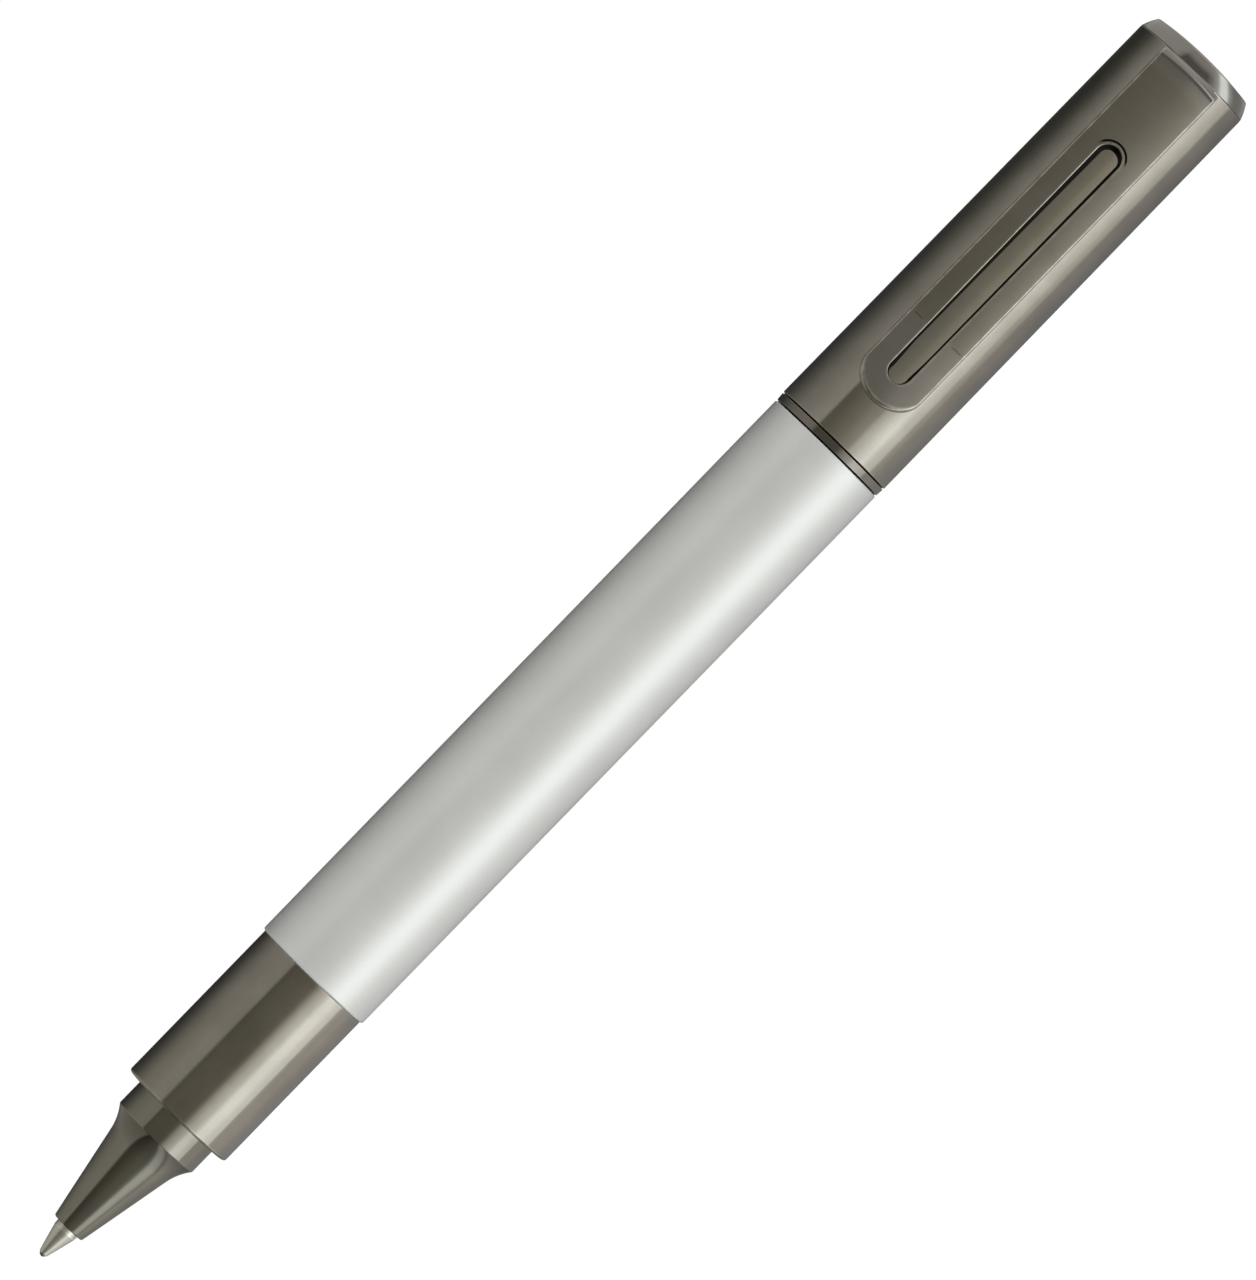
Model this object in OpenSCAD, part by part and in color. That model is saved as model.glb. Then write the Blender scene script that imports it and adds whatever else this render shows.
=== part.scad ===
// Twist-action ballpoint pen, modelled as an assembly, in millimetres.
// Frame: the origin is the writing point on the pen's axis, +X runs from the point to the tail,
// and +Z runs from the axis to the pocket clip. At rest the point is out.
// Lengths along the pen are called stations and are counted from the writing point.
// "Front" is the point's side and "rear" the tail's side. _d is a diameter and _r a radius.
// Screw threads are drawn as rings, and each female thread is a plain bore just over them.

/* [Nose cone] */
// Station of the nose cone's front edge
nose_front = 3.36; // [3.30:0.01:3.60]
// Diameter of the front edge
nose_front_d = 3.22; // [3.10:0.02:3.40]
// Station where the straight cone ends and the flare starts
cone_end = 11.93; // [11.50:0.01:12.20]
// Diameter at the end of the straight cone
cone_end_d = 6.58; // [6.40:0.02:6.80]
// Station of the sharp edge between the flare and the collar
collar_start = 14.25; // [14.00:0.01:14.40]
// Diameter of the collar
collar_d = 8.66; // [8.50:0.02:8.80]
// Number of bands the flare is turned in
flare_steps = 8; // [4:1:16]

/* [Grip section] */
// Station of the grip section's front face
grip_front = 16.84; // [16.60:0.01:17.00]
// Station of the joint between the grip section and the barrel
grip_end = 33.62; // [33.00:0.01:34.00]
// Diameter of the grip section
grip_d = 11.36; // [11.30:0.02:11.60]
// Size of the eased front edge
grip_ease = 0.25; // [0.10:0.05:0.40]

/* [Lower barrel] */
// Station of the lower barrel's rear end
barrel_end = 97.03; // [96.80:0.01:97.20]
// Outer diameter at the front
barrel_front_d = 11.82; // [11.76:0.02:11.90]
// Outer diameter at the rear
barrel_rear_d = 11.94; // [11.90:0.02:12.10]
// Bore of the lower barrel's tube
barrel_bore_d = 10.90; // [10.80:0.05:10.95]

/* [Trim ring] */
// Length of the trim ring between the two halves
ring_len = 0.96; // [0.90:0.01:1.00]
// Diameter of the ring beside the lower barrel
ring_front_d = 11.92; // [11.80:0.02:12.00]
// Diameter of the ring beside the upper barrel
ring_rear_d = 12.02; // [11.90:0.02:12.10]
// Depth of the fine step on each side of the ring
ring_step = 0.10; // [0.05:0.01:0.15]

/* [Upper barrel] */
// Running gap between the ring and the upper barrel
turn_gap = 0.04; // [0.03:0.01:0.08]
// Station of the seam between the upper barrel and the crown
tube_end = 142.16; // [142.00:0.01:142.40]
// Diameter at the mouth
mouth_d = 12.06; // [12.00:0.02:12.20]
// Diameter at the crown
tail_d = 11.86; // [11.80:0.02:12.00]
// Bore of the upper barrel's tube
upper_bore_d = 10.90; // [10.80:0.05:10.95]

/* [Crown] */
// Station of the crown's sharp outer edge
crown_edge = 143.60; // [143.40:0.01:143.80]
// Diameter of that edge
crown_edge_d = 10.52; // [10.30:0.02:10.80]
// Height of the low dome on the end face
crown_dome = 0.40; // [0.20:0.05:0.60]

/* [Clip] */
// Width of the clip
clip_w = 6.37; // [6.20:0.01:6.50]
// Thickness of the strip
clip_t = 0.80; // [0.70:0.05:0.90]
// Station of the free end
clip_tip = 102.60; // [102.40:0.05:103.00]
// Length of the rounded free end
clip_round = 2.60; // [2.20:0.05:3.00]
// Station of the crease where the free end turns away from the barrel
clip_crease = 110.50; // [110.00:0.05:111.00]
// Height of the strip's top above the pen's axis at the crease
clip_crease_z = 7.13; // [7.05:0.01:7.30]
// Rise of the free end, in degrees
clip_lip_angle = 6.0; // [4:0.1:7]
// Rise of the strip from the crease towards its root, in degrees
clip_rise_angle = 2.4; // [2:0.05:2.8]
// Station of the back of the clip's root
clip_back = 141.80; // [141.70:0.01:141.84]
// Front end of the through slot
slot_front = 104.80; // [104.60:0.05:105.20]
// Rear end of the through slot
slot_rear = 132.50; // [130.00:0.05:133.00]
// Width of the slot at its front end
slot_front_w = 2.26; // [2.10:0.02:2.40]
// Width of the slot at its rear end
slot_rear_w = 2.46; // [2.30:0.02:2.60]

/* [Refill] */
// Overall length of the standard metal refill
refill_len = 98.10; // [97.80:0.05:98.30]
// Diameter of the refill's tube
refill_d = 5.90; // [5.80:0.05:6.00]
// Diameter of the writing ball
ball_d = 0.70; // [0.60:0.05:0.76]
// Diameter of the refill's metal point
point_d = 2.28; // [2.24:0.02:2.30]
// Diameter of the refill's slim front, which carries the spring
slim_d = 3.10; // [3.00:0.05:3.20]

/* [Return spring] */
// Wire diameter
wire_d = 0.36; // [0.30:0.02:0.40]
// Mean diameter of the coil
coil_d = 3.96; // [3.90:0.02:4.00]
// Number of turns
coil_turns = 9; // [7:1:11]

/* [Twist mechanism] */
// Axial travel of the plunger and the refill
travel = 5.40; // [5.00:0.05:5.60]
// Turn of the upper barrel for that travel, in degrees
twist = 160; // [140:5:165]
// Diameter of the cross pin
pin_d = 1.50; // [1.40:0.05:1.55]
// Diameter of the plunger
plunger_d = 6.44; // [6.40:0.02:6.48]
// Outer diameter of the guide tube inside the cam sleeve
guide_d = 8.00; // [7.95:0.01:8.02]
// Cuts that make up each helical slot
cam_steps = 24; // [20:1:30]

/* [Hidden] */
$fn = 96;

// Shared stations
ring_end = barrel_end + ring_len;
mouth = ring_end + turn_gap;
seat = 9.40;                    // front seat of the return spring, inside the nose cone
shoulder = 18.40;               // shoulder of the refill, behind the spring
spigot_end = 25.00;             // rear of the nose cone's threaded spigot
pin_x = 106.00;                 // cross pin at rest
cam_front = 100.30;
cam_rear = 118.60;
leg_front = clip_back - clip_t; // front face of the clip's leg and clamped ring
crown_in = clip_back + 0.02;    // front face of the crown

// Shared radii
point_r = point_d / 2;
slim_r = slim_d / 2;
barrel_bore_r = barrel_bore_d / 2;
upper_bore_r = upper_bore_d / 2;
mouth_r = mouth_d / 2;
tail_r = tail_d / 2;

// Body threads
nose_thread_r = 4.20;
grip_thread_r = 4.80;
guide_thread_r = 4.70;
thread_depth = 0.35;
thread_pitch = 0.75;
thread_gap = 0.06;              // radial clearance of the female threads

shade = [0.36, 0.34, 0.31];     // dark plated metal
pearl = [0.80, 0.81, 0.78];
brass = [0.78, 0.62, 0.34];
steel = [0.66, 0.66, 0.66];
dark_grey = [0.20, 0.20, 0.21];

// ---- helpers ----
// Lays a shape drawn upright along Z down along X, with its -X side up.
module lay() rotate([0, 90, 0]) children();

// A turned piece: points are [radius, station].
module turned(points) lay() rotate_extrude() polygon(points);

module bar(r, front, rear)
    lay() translate([0, 0, front]) cylinder(r = r, h = rear - front);

module tube(r, bore_r, front, rear)
    turned([[bore_r, front], [r, front], [r, rear], [bore_r, rear]]);

// A round bar along Y, centred on the origin.
module cross_bar(r, length) rotate([90, 0, 0]) cylinder(r = r, h = length, center = true);

// A side profile of [station, height] points, given a width along Y.
module side_profile(width, points)
    rotate([90, 0, 0]) linear_extrude(height = width, center = true) polygon(points);

// Points of a ring-shaped thread profile, from its front station.
function thread(r, depth, front, pitch, count) = concat(
    [[r - depth, front]],
    [for (i = [0:count - 1]) each [[r, front + (i + 0.30) * pitch],
                                   [r, front + (i + 0.45) * pitch],
                                   [r - depth, front + (i + 0.80) * pitch]]],
    [[r - depth, front + count * pitch]]);
function body_thread(r, front, count) = thread(r, thread_depth, front, thread_pitch, count);

// Half of an ellipse in plan, from a start angle on through -180 degrees.
function half_round(center_x, radius_x, radius_y, start, steps) =
    [for (i = [0:steps]) let (angle = start - i * 180 / steps)
        [center_x + radius_x * cos(angle), radius_y * sin(angle)]];

// ---- refill ----
ball_r = ball_d / 2;
socket_r = ball_r + 0.012;
lip = 0.27 * ball_d / 0.70;     // station of the lip that holds the ball
point_rear = 8.60;
adapter_front = 7.60;
adapter_bore_r = 0.80;
point_hole_r = point_r + 0.005; // adapter's bore around the point
refill_r = refill_d / 2;
refill_bore_r = 2.58;
spigot_r = refill_bore_r - 0.02;
tube_front = shoulder + 2.0;
adapter_rear = shoulder + 5.6;
tube_rear = refill_len - 6.5;
plug_front = refill_len - 10.5;
plug_r = refill_r - 0.05;
ink_rear = 79;

module writing_ball() color([0.25, 0.24, 0.23]) translate([ball_r, 0, 0]) sphere(d = ball_d);

module refill_point() color([0.72, 0.70, 0.62])
    difference() {
        turned([[0, lip], [0.40, lip], [0.425, lip + 0.06], [point_r - 0.02, 2.90],
                [point_r, 2.96], [point_r, point_rear], [0, point_rear]]);
        translate([ball_r, 0, 0]) sphere(r = socket_r);
        // ink passage, narrow and then wide
        bar(0.20, ball_r + 0.1, 1.80);
        bar(0.45, 1.70, point_rear + 0.1);
    }

module refill_adapter() color(steel)
    turned([[point_hole_r, adapter_front], [slim_r - 0.15, adapter_front],
            [slim_r, adapter_front + 0.3], [slim_r, shoulder], [2.45, shoulder],
            [refill_r, tube_front], [spigot_r, tube_front], [spigot_r, adapter_rear],
            [adapter_bore_r, adapter_rear], [adapter_bore_r, point_rear + 0.02],
            [point_hole_r, point_rear + 0.02]]);

module refill_tube() color(steel)
    tube(refill_r, refill_bore_r, tube_front + 0.01, tube_rear);

module refill_plug() color(dark_grey)
    difference() {
        turned([[0.50, plug_front], [2.55, plug_front], [spigot_r, tube_rear + 0.01],
                [plug_r, tube_rear + 0.01], [plug_r, refill_len - 0.6],
                [plug_r - 0.4, refill_len], [0.50, refill_len]]);
        // three crossing grooves in the end face
        for (angle = [0:60:120])
            lay() rotate([0, 0, angle]) translate([-4, -0.45, refill_len - 1.6]) cube([8, 0.9, 2]);
    }

module ink_column() color([0.05, 0.06, 0.16])
    turned([[0, point_rear + 0.04], [adapter_bore_r - 0.02, point_rear + 0.04],
            [adapter_bore_r - 0.02, adapter_rear + 0.02], [spigot_r, adapter_rear + 0.02],
            [spigot_r, ink_rear], [0, ink_rear]]);

// ---- return spring: a round wire swept along a coil ----
wire_r = wire_d / 2;
spring_front = seat + wire_r + 0.01;
spring_rear = shoulder - wire_r - 0.01;
turn_steps = 16;                // wire sections in one turn
wire_sides = 6;
sweep_steps = coil_turns * turn_steps;
flat_share = 0.07;              // share of the coil wound flat at each end
sweep_rise = 0.0002;            // slight rise for each section, flat ends included

function coil_x(i) = spring_front + (spring_rear - spring_front)
    * max(0, min(1, (i / sweep_steps - flat_share) / (1 - 2 * flat_share)));
function wire_section(i) =
    [for (k = [0:wire_sides - 1])
        let (turn = 360 * i / turn_steps, side = 360 * k / wire_sides,
             r = coil_d / 2 + wire_r * cos(side))
        [coil_x(i) + wire_r * sin(side) + sweep_rise * i, r * sin(turn), r * cos(turn)]];

module return_spring() color(steel)
    polyhedron(
        points = [for (i = [0:sweep_steps]) each wire_section(i)],
        faces = concat(
            [[for (k = [0:wire_sides - 1]) wire_sides - 1 - k]],
            [for (i = [0:sweep_steps - 1], k = [0:wire_sides - 1])
                let (this = i * wire_sides, next = this + wire_sides, k2 = (k + 1) % wire_sides)
                [this + k, this + k2, next + k2, next + k]],
            [[for (k = [0:wire_sides - 1]) sweep_steps * wire_sides + k]]));

// ---- lower barrel ----
nose_r = nose_front_d / 2;
cone_r = cone_end_d / 2;
collar_r = collar_d / 2;
nose_bore_r = 3.10;             // rear bore of the nose cone
nose_bore_front = 17.90;
spring_bore_r = 2.35;
slim_bore_r = slim_r + 0.12;
point_bore_r = point_r + 0.07;

// The flare is a concave arc that starts along the cone and steepens up to the collar.
flare_len = collar_start - cone_end;
flare_rise = flare_len * (cone_r - nose_r) / (cone_end - nose_front); // at the cone's slope
function flare(i) = let (u = i / flare_steps)
    [cone_r + flare_rise * u + (collar_r - cone_r - flare_rise) * pow(u, 2.3),
     cone_end + flare_len * u];

module nose_cone() color(shade)
    turned(concat(
        [[point_bore_r, nose_front + 0.06], [nose_r - 0.12, nose_front],
         [nose_r - 0.02, nose_front + 0.05], [nose_r + 0.015, nose_front + 0.14]],
        [for (i = [0:flare_steps]) flare(i)],
        [[collar_r, grip_front], [nose_thread_r - thread_depth, grip_front]],
        body_thread(nose_thread_r, grip_front + 0.3, 10),
        [[nose_thread_r - thread_depth, spigot_end], [nose_bore_r, spigot_end],
         [nose_bore_r, nose_bore_front], [spring_bore_r, nose_bore_front],
         [spring_bore_r, seat], [slim_bore_r, seat], [slim_bore_r, 7.30],
         [point_bore_r, 6.00]]));

grip_r = grip_d / 2;
grip_bore_r = 3.45;
grip_spigot_end = 40.60;        // rear of the grip section's threaded spigot
nose_socket_r = nose_thread_r + thread_gap;
grip_root_r = grip_thread_r - thread_depth;
module grip_section() color(shade)
    turned(concat(
        [[nose_socket_r, grip_front], [grip_r - grip_ease, grip_front],
         [grip_r - grip_ease * 0.3, grip_front + grip_ease * 0.3],
         [grip_r, grip_front + grip_ease], [grip_r, grip_end - 0.06],
         [grip_r - 0.05, grip_end], [grip_root_r, grip_end]],
        body_thread(grip_thread_r, grip_end + 0.3, 8),
        [[grip_root_r, grip_spigot_end], [grip_bore_r, grip_spigot_end],
         [grip_bore_r, spigot_end + 0.2], [nose_socket_r, spigot_end + 0.2]]));

bush_r = barrel_bore_r - 0.01;
guide_socket_r = guide_thread_r + thread_gap;
module front_bush() color(brass)
    tube(bush_r, grip_thread_r + thread_gap, grip_end + 0.3, grip_end + 8.4);

module rear_bush() color(brass)
    tube(bush_r, guide_socket_r, barrel_end - 9.4, barrel_end - 0.1);

barrel_front = grip_end + 0.01;
barrel_front_r = barrel_front_d / 2;
barrel_rear_r = barrel_rear_d / 2;
module barrel_sleeve() color(pearl)
    turned([[barrel_bore_r, barrel_front], [barrel_front_r - 0.10, barrel_front],
            [barrel_front_r, barrel_front + 0.13], [barrel_rear_r, barrel_end - 0.08],
            [barrel_rear_r - 0.06, barrel_end], [barrel_bore_r, barrel_end]]);

ring_front_r = ring_front_d / 2;
ring_rear_r = ring_rear_d / 2;
module trim_ring() color(shade)
    turned([[guide_socket_r, barrel_end + 0.01],
            [ring_front_r - ring_step, barrel_end + 0.01],
            [ring_front_r - ring_step, barrel_end + 0.08],
            [ring_front_r - 0.03, barrel_end + 0.09], [ring_front_r, barrel_end + 0.12],
            [ring_rear_r, ring_end - 0.12], [ring_rear_r - 0.03, ring_end - 0.09],
            [ring_rear_r - ring_step, ring_end - 0.08],
            [ring_rear_r - ring_step, ring_end], [guide_socket_r, ring_end]]);

// ---- twist mechanism ----
pin_r = pin_d / 2;
pin_slot_r = pin_r + 0.10;      // half width of the pin's slots
slot_cut = 12;                  // length of cuts right across the pen
plunger_r = plunger_d / 2;
plunger_bore_r = plunger_r + 0.06;
guide_r = guide_d / 2;
guide_front = barrel_end - 8.9;
guide_rear = cam_rear + 2.1;
guide_root_r = guide_thread_r - thread_depth;
flange_r = upper_bore_r - 0.08;
flange_front = ring_end + 0.01;
flange_rear = ring_end + 0.55;
neck_r = 4.30;                  // guide tube between its flange and the cam sleeve
neck_rear = cam_front - 0.05;
groove_r = guide_r - 0.32;      // groove for the retaining ring
groove_front = cam_rear + 0.62;
groove_rear = cam_rear + 1.24;

module guide_tube() color(dark_grey)
    difference() {
        turned(concat(
            [[plunger_bore_r, guide_front], [guide_root_r, guide_front]],
            body_thread(guide_thread_r, guide_front + 0.1, 11),
            [[guide_root_r, barrel_end - 0.4], [guide_thread_r, barrel_end - 0.4],
             [guide_thread_r, flange_front], [flange_r, flange_front], [flange_r, flange_rear],
             [neck_r, flange_rear], [neck_r, neck_rear], [guide_r, neck_rear],
             [guide_r, groove_front], [groove_r, groove_front], [groove_r, groove_rear],
             [guide_r, groove_rear], [guide_r, guide_rear - 0.2], [guide_r - 0.2, guide_rear],
             [plunger_bore_r, guide_rear]]));
        // straight slots, one on each side, that let the cross pin slide but not turn
        for (x = [pin_x, pin_x + travel]) translate([x, 0, 0]) cross_bar(pin_slot_r, slot_cut);
        translate([pin_x, -slot_cut / 2, -pin_slot_r]) cube([travel, slot_cut, 2 * pin_slot_r]);
    }

// A round-section ring on the neck, just behind the flange.
friction_bore_r = neck_r + 0.02;
friction_r = (upper_bore_r - 0.02 - (neck_r + 0.01)) / 2; // radius of its section
module friction_ring() color([0.08, 0.08, 0.08])
    lay() translate([0, 0, flange_rear + 0.03 + friction_r])
        rotate_extrude() translate([friction_bore_r + friction_r, 0]) circle(r = friction_r);

module plunger() color([0.86, 0.85, 0.80])
    difference() {
        bar(plunger_r, refill_len + 0.02, pin_x + 4.0);
        bar(1.9, pin_x + 1.6, pin_x + 4.1);
        translate([pin_x, 0, 0]) cross_bar(pin_r + 0.01, slot_cut);
    }

module cross_pin() color(steel)
    translate([pin_x, 0, 0]) cross_bar(pin_r, upper_bore_d - 0.24);

sleeve_bore_r = guide_r + 0.05;
module cam_sleeve() color(brass)
    difference() {
        tube(upper_bore_r - 0.01, sleeve_bore_r, cam_front, cam_rear);
        // two opposite helical slots, cut step by step along the pin's path
        for (i = [0:cam_steps])
            lay() rotate([0, 0, -twist * i / cam_steps])
                translate([0, 0, pin_x + travel * i / cam_steps]) cross_bar(pin_slot_r, 14);
    }

module thrust_washer() color(steel)
    tube(5.00, sleeve_bore_r, cam_rear + 0.10, cam_rear + 0.52);

module retaining_ring() color([0.30, 0.30, 0.32])
    difference() {
        tube(4.85, groove_r + 0.02, groove_front + 0.04, groove_rear - 0.04);
        // gap on the side away from the clip
        translate([cam_rear, -1.1, -6]) cube([2, 2.2, 6]);
    }

// ---- upper barrel ----
notch_w = 5.10;                 // width of the notch for the clip's leg
screw_hole_r = 1.60;
end_plug_front = 131.0;
module upper_barrel() color(shade)
    difference() {
        turned([[upper_bore_r, mouth], [mouth_r - 0.05, mouth], [mouth_r, mouth + 0.06],
                [tail_r, tube_end - 0.06], [tail_r - 0.04, tube_end],
                [upper_bore_r, tube_end]]);
        translate([leg_front - 0.05, -notch_w / 2, 4]) cube([3, notch_w, 4]);
    }

module end_plug() color(dark_grey)
    difference() {
        bar(upper_bore_r - 0.01, end_plug_front, leg_front - 0.03);
        bar(screw_hole_r, end_plug_front - 1, 142);
    }

// ---- clip ----
clip_split = 138.50;            // where the arm meets the root
crease_half = 1;                // half length of the rounded crease
crease_front = clip_crease - crease_half;
crease_rear = clip_crease + crease_half;
lip_slope = tan(clip_lip_angle);
rise_slope = tan(clip_rise_angle);

// Curve that rounds the crease, with u from 0 at its front to 1 at its rear.
function crease_z(u) = pow(1 - u, 2) * (clip_crease_z + crease_half * lip_slope)
    + 2 * u * (1 - u) * clip_crease_z
    + u * u * (clip_crease_z + crease_half * rise_slope);

// Top line of the strip, as a height for a station.
function top_z(x) =
    x < crease_front ? clip_crease_z + (clip_crease - x) * lip_slope
    : x > crease_rear ? clip_crease_z + (x - clip_crease) * rise_slope
    : crease_z((x - crease_front) / (2 * crease_half));

strip_x = concat([clip_tip - 0.5, crease_front],
                 [for (i = [1:7]) crease_front + crease_half * i / 4],
                 [crease_rear, clip_split]);
strip_side = concat(
    [for (x = strip_x) [x, top_z(x)]],
    [for (i = [len(strip_x) - 1:-1:0]) [strip_x[i], top_z(strip_x[i]) - clip_t]]);

// Outline from above: straight sides and a rounded free end. It runs on past the arm.
plan_rear = 200;
clip_plan = concat([[plan_rear, -clip_w / 2]],
                   half_round(clip_tip + clip_round, clip_round, clip_w / 2, -90, 28),
                   [[plan_rear, clip_w / 2]]);
slot_front_r = slot_front_w / 2;
slot_rear_r = slot_rear_w / 2;
slot_plan = concat(
    half_round(slot_front + slot_front_r, slot_front_r, slot_front_r, -90, 14),
    half_round(slot_rear - slot_rear_r, slot_rear_r, slot_rear_r, 90, 14));

// Contact nub under the free end: points are [radius, height].
nub_x = clip_tip + 1.25;
nub_top = top_z(nub_x) - clip_t + 0.30; // inside the strip
nub_profile = [[0, mouth_r + 0.03], [0.45, mouth_r + 0.08], [0.80, mouth_r + 0.30],
               [1.02, mouth_r + 0.62], [1.10, nub_top], [0, nub_top]];

module clip_arm() color(shade)
    difference() {
        union() {
            intersection() {
                side_profile(10, strip_side);
                linear_extrude(height = 12) polygon(clip_plan);
            }
            translate([nub_x, 0, 0]) rotate_extrude() polygon(nub_profile);
        }
        translate([0, 0, 4]) linear_extrude(height = 8) polygon(slot_plan);
    }

root_front = clip_split + 0.01;
split_z = top_z(clip_split);
back_z = top_z(clip_back);
bend_r = 1.15;                  // rounded shoulder above the leg
bend_x = clip_back - bend_r;
bend_z = back_z - 0.05 - bend_r;
leg_z = 6.40;                   // foot of the leg's full width
module clip_root() color(shade)
    union() {
        // end of the strip, its rounded shoulder and the upper part of the leg
        side_profile(clip_w, concat(
            [[root_front, split_z], [bend_x, back_z - bend_r * sin(clip_rise_angle)]],
            [for (i = [1:7]) let (angle = 90 - i * 90 / 8)
                [bend_x + bend_r * cos(angle), bend_z + bend_r * sin(angle)]],
            [[clip_back, bend_z], [clip_back, leg_z], [leg_front, leg_z],
             [leg_front, back_z - clip_t - 0.55], [leg_front - 0.45, back_z - clip_t - 0.08],
             [root_front, split_z - clip_t]]));
        // narrower part of the leg, which drops through the tube's notch
        translate([leg_front, -(notch_w / 2 - 0.05), 3.5]) cube([clip_t, notch_w - 0.1, 3.2]);
        // clamped ring
        tube(upper_bore_r - 0.05, screw_hole_r, leg_front, clip_back);
    }

// ---- crown ----
screw_r = 1.50;
screw_thread_depth = 0.22;
screw_thread_front = 138.0;
screw_socket_r = screw_r + 0.04;
socket_end = crown_in + 1.5;
edge_r = crown_edge_d / 2;
rim_front = tube_end + 0.02;
side_front = tube_end + 0.06;
module crown() color(shade)
    union() {
        turned(concat(
            [[0, socket_end], [screw_socket_r, socket_end], [screw_socket_r, crown_in],
             [upper_bore_r - 0.05, crown_in], [upper_bore_r - 0.05, rim_front],
             [tail_r - 0.04, rim_front], [tail_r - 0.01, side_front]],
            // curved side
            [for (i = [1:6]) let (u = i / 6)
                [tail_r - (tail_r - edge_r) * (0.62 * u + 0.38 * u * u),
                 side_front + (crown_edge - side_front) * u]],
            // domed end
            [for (i = [1:5]) let (u = i / 5)
                [edge_r * (1 - u), crown_edge + crown_dome * (1 - pow(1 - u, 2))]]));
        // key that fills the notch behind the clip's leg
        intersection() {
            translate([crown_in, -(notch_w / 2 - 0.03), 4])
                cube([rim_front - crown_in, notch_w - 0.06, 3]);
            bar(tail_r - 0.03, 140, 144);
        }
    }

head_front = 128.4;
head_rear = 130.5;
head_r = 2.65;
screw_end = crown_in + 1.3;
module crown_screw() color(steel)
    difference() {
        turned(concat(
            [[0, head_front], [head_r - 0.2, head_front], [head_r, head_front + 0.2],
             [head_r, head_rear], [screw_r - 0.1, head_rear], [screw_r, head_rear + 0.1],
             [screw_r, screw_thread_front]],
            thread(screw_r, screw_thread_depth, screw_thread_front, 0.5, 9),
            [[screw_r - screw_thread_depth, screw_end], [0, screw_end]]));
        // driver slot
        translate([head_front - 1, -3, -0.4]) cube([1.9, 6, 0.8]);
    }

module lock_washer() color(steel)
    difference() {
        tube(2.75, 1.56, head_rear + 0.02, end_plug_front - 0.02);
        translate([130, -0.35, 0]) cube([2, 0.7, 4]);
    }

writing_ball();
refill_point();
refill_adapter();
refill_tube();
refill_plug();
ink_column();
return_spring();
nose_cone();
grip_section();
front_bush();
barrel_sleeve();
rear_bush();
trim_ring();
guide_tube();
friction_ring();
plunger();
cross_pin();
cam_sleeve();
thrust_washer();
retaining_ring();
upper_barrel();
end_plug();
clip_arm();
clip_root();
crown();
crown_screw();
lock_washer();
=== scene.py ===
"""A click pen: dark plated nose, grip and upper barrel, pearl lacquered sleeve and a bent pocket clip.

The pen lies along X with its writing point near the origin, its tail towards +X and its clip on
the +Z side. Stations (along X) and radii are in mm; make_mesh turns them into metres.
"""
import math

import bpy
import numpy as np
from mathutils import Matrix, Vector


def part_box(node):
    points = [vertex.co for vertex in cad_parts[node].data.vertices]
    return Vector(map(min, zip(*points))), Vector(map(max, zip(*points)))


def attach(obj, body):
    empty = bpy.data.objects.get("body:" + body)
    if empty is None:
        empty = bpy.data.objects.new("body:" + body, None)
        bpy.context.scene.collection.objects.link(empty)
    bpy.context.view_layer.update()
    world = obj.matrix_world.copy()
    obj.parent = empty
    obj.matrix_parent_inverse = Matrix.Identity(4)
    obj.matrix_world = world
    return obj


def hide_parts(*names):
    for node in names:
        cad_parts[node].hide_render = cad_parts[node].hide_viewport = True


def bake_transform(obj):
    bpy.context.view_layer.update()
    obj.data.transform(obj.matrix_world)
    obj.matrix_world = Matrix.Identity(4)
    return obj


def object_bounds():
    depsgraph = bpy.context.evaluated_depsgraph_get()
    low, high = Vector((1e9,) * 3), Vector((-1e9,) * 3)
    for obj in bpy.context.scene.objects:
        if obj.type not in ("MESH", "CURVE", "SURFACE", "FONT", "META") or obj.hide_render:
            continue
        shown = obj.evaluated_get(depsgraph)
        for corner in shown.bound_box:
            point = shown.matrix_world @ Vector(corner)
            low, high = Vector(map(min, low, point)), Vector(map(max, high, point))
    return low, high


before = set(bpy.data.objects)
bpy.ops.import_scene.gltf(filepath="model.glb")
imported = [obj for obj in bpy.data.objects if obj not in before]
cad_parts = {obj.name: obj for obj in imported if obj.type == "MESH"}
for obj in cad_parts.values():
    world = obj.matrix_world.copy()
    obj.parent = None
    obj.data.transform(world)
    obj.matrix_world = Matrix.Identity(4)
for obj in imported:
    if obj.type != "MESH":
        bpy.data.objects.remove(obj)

MM = 0.001
SEGMENTS = 288             # round a turned piece
cad_lo, cad_hi = [list(map(float, corner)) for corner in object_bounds()]


def box_mm(node):
    """A node's box in mm, as (low corner, high corner)."""
    lo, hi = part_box(node)
    return [float(v) * 1000 for v in lo], [float(v) * 1000 for v in hi]


# ---------------------------------------------------------------- stations and radii shared by pieces
(nose_start, _, _), (nose_spigot_end, _, _) = box_mm("nose_cone")
(grip_start, _, _), (grip_spigot_end, grip_r, _) = box_mm("grip_section")
(barrel_start, _, _), (barrel_end, _, _) = box_mm("barrel_sleeve")
(ring_start, _, _), (ring_end, _, _) = box_mm("trim_ring")
(tube_start, _, _), (tube_end, tube_r, _) = box_mm("upper_barrel")
_, (crown_end, _, _) = box_mm("crown")
(clip_start, _, _), (_, clip_half_width, _) = box_mm("clip_arm")
_, (clip_root_end, _, _) = box_mm("clip_root")
grip_end = barrel_start - 0.01
tail_r = 5.93                                # the upper barrel's tube at its tail
tube_bore_r = 5.45
notch_half_width = 2.55                      # the tube's notch for the clip
THREAD_DEPTH, THREAD_PITCH, THREAD_LEAD = 0.35, 0.75, 0.3


# ---------------------------------------------------------------- mesh helpers
def unit(vector):
    return vector / np.linalg.norm(vector)


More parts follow.
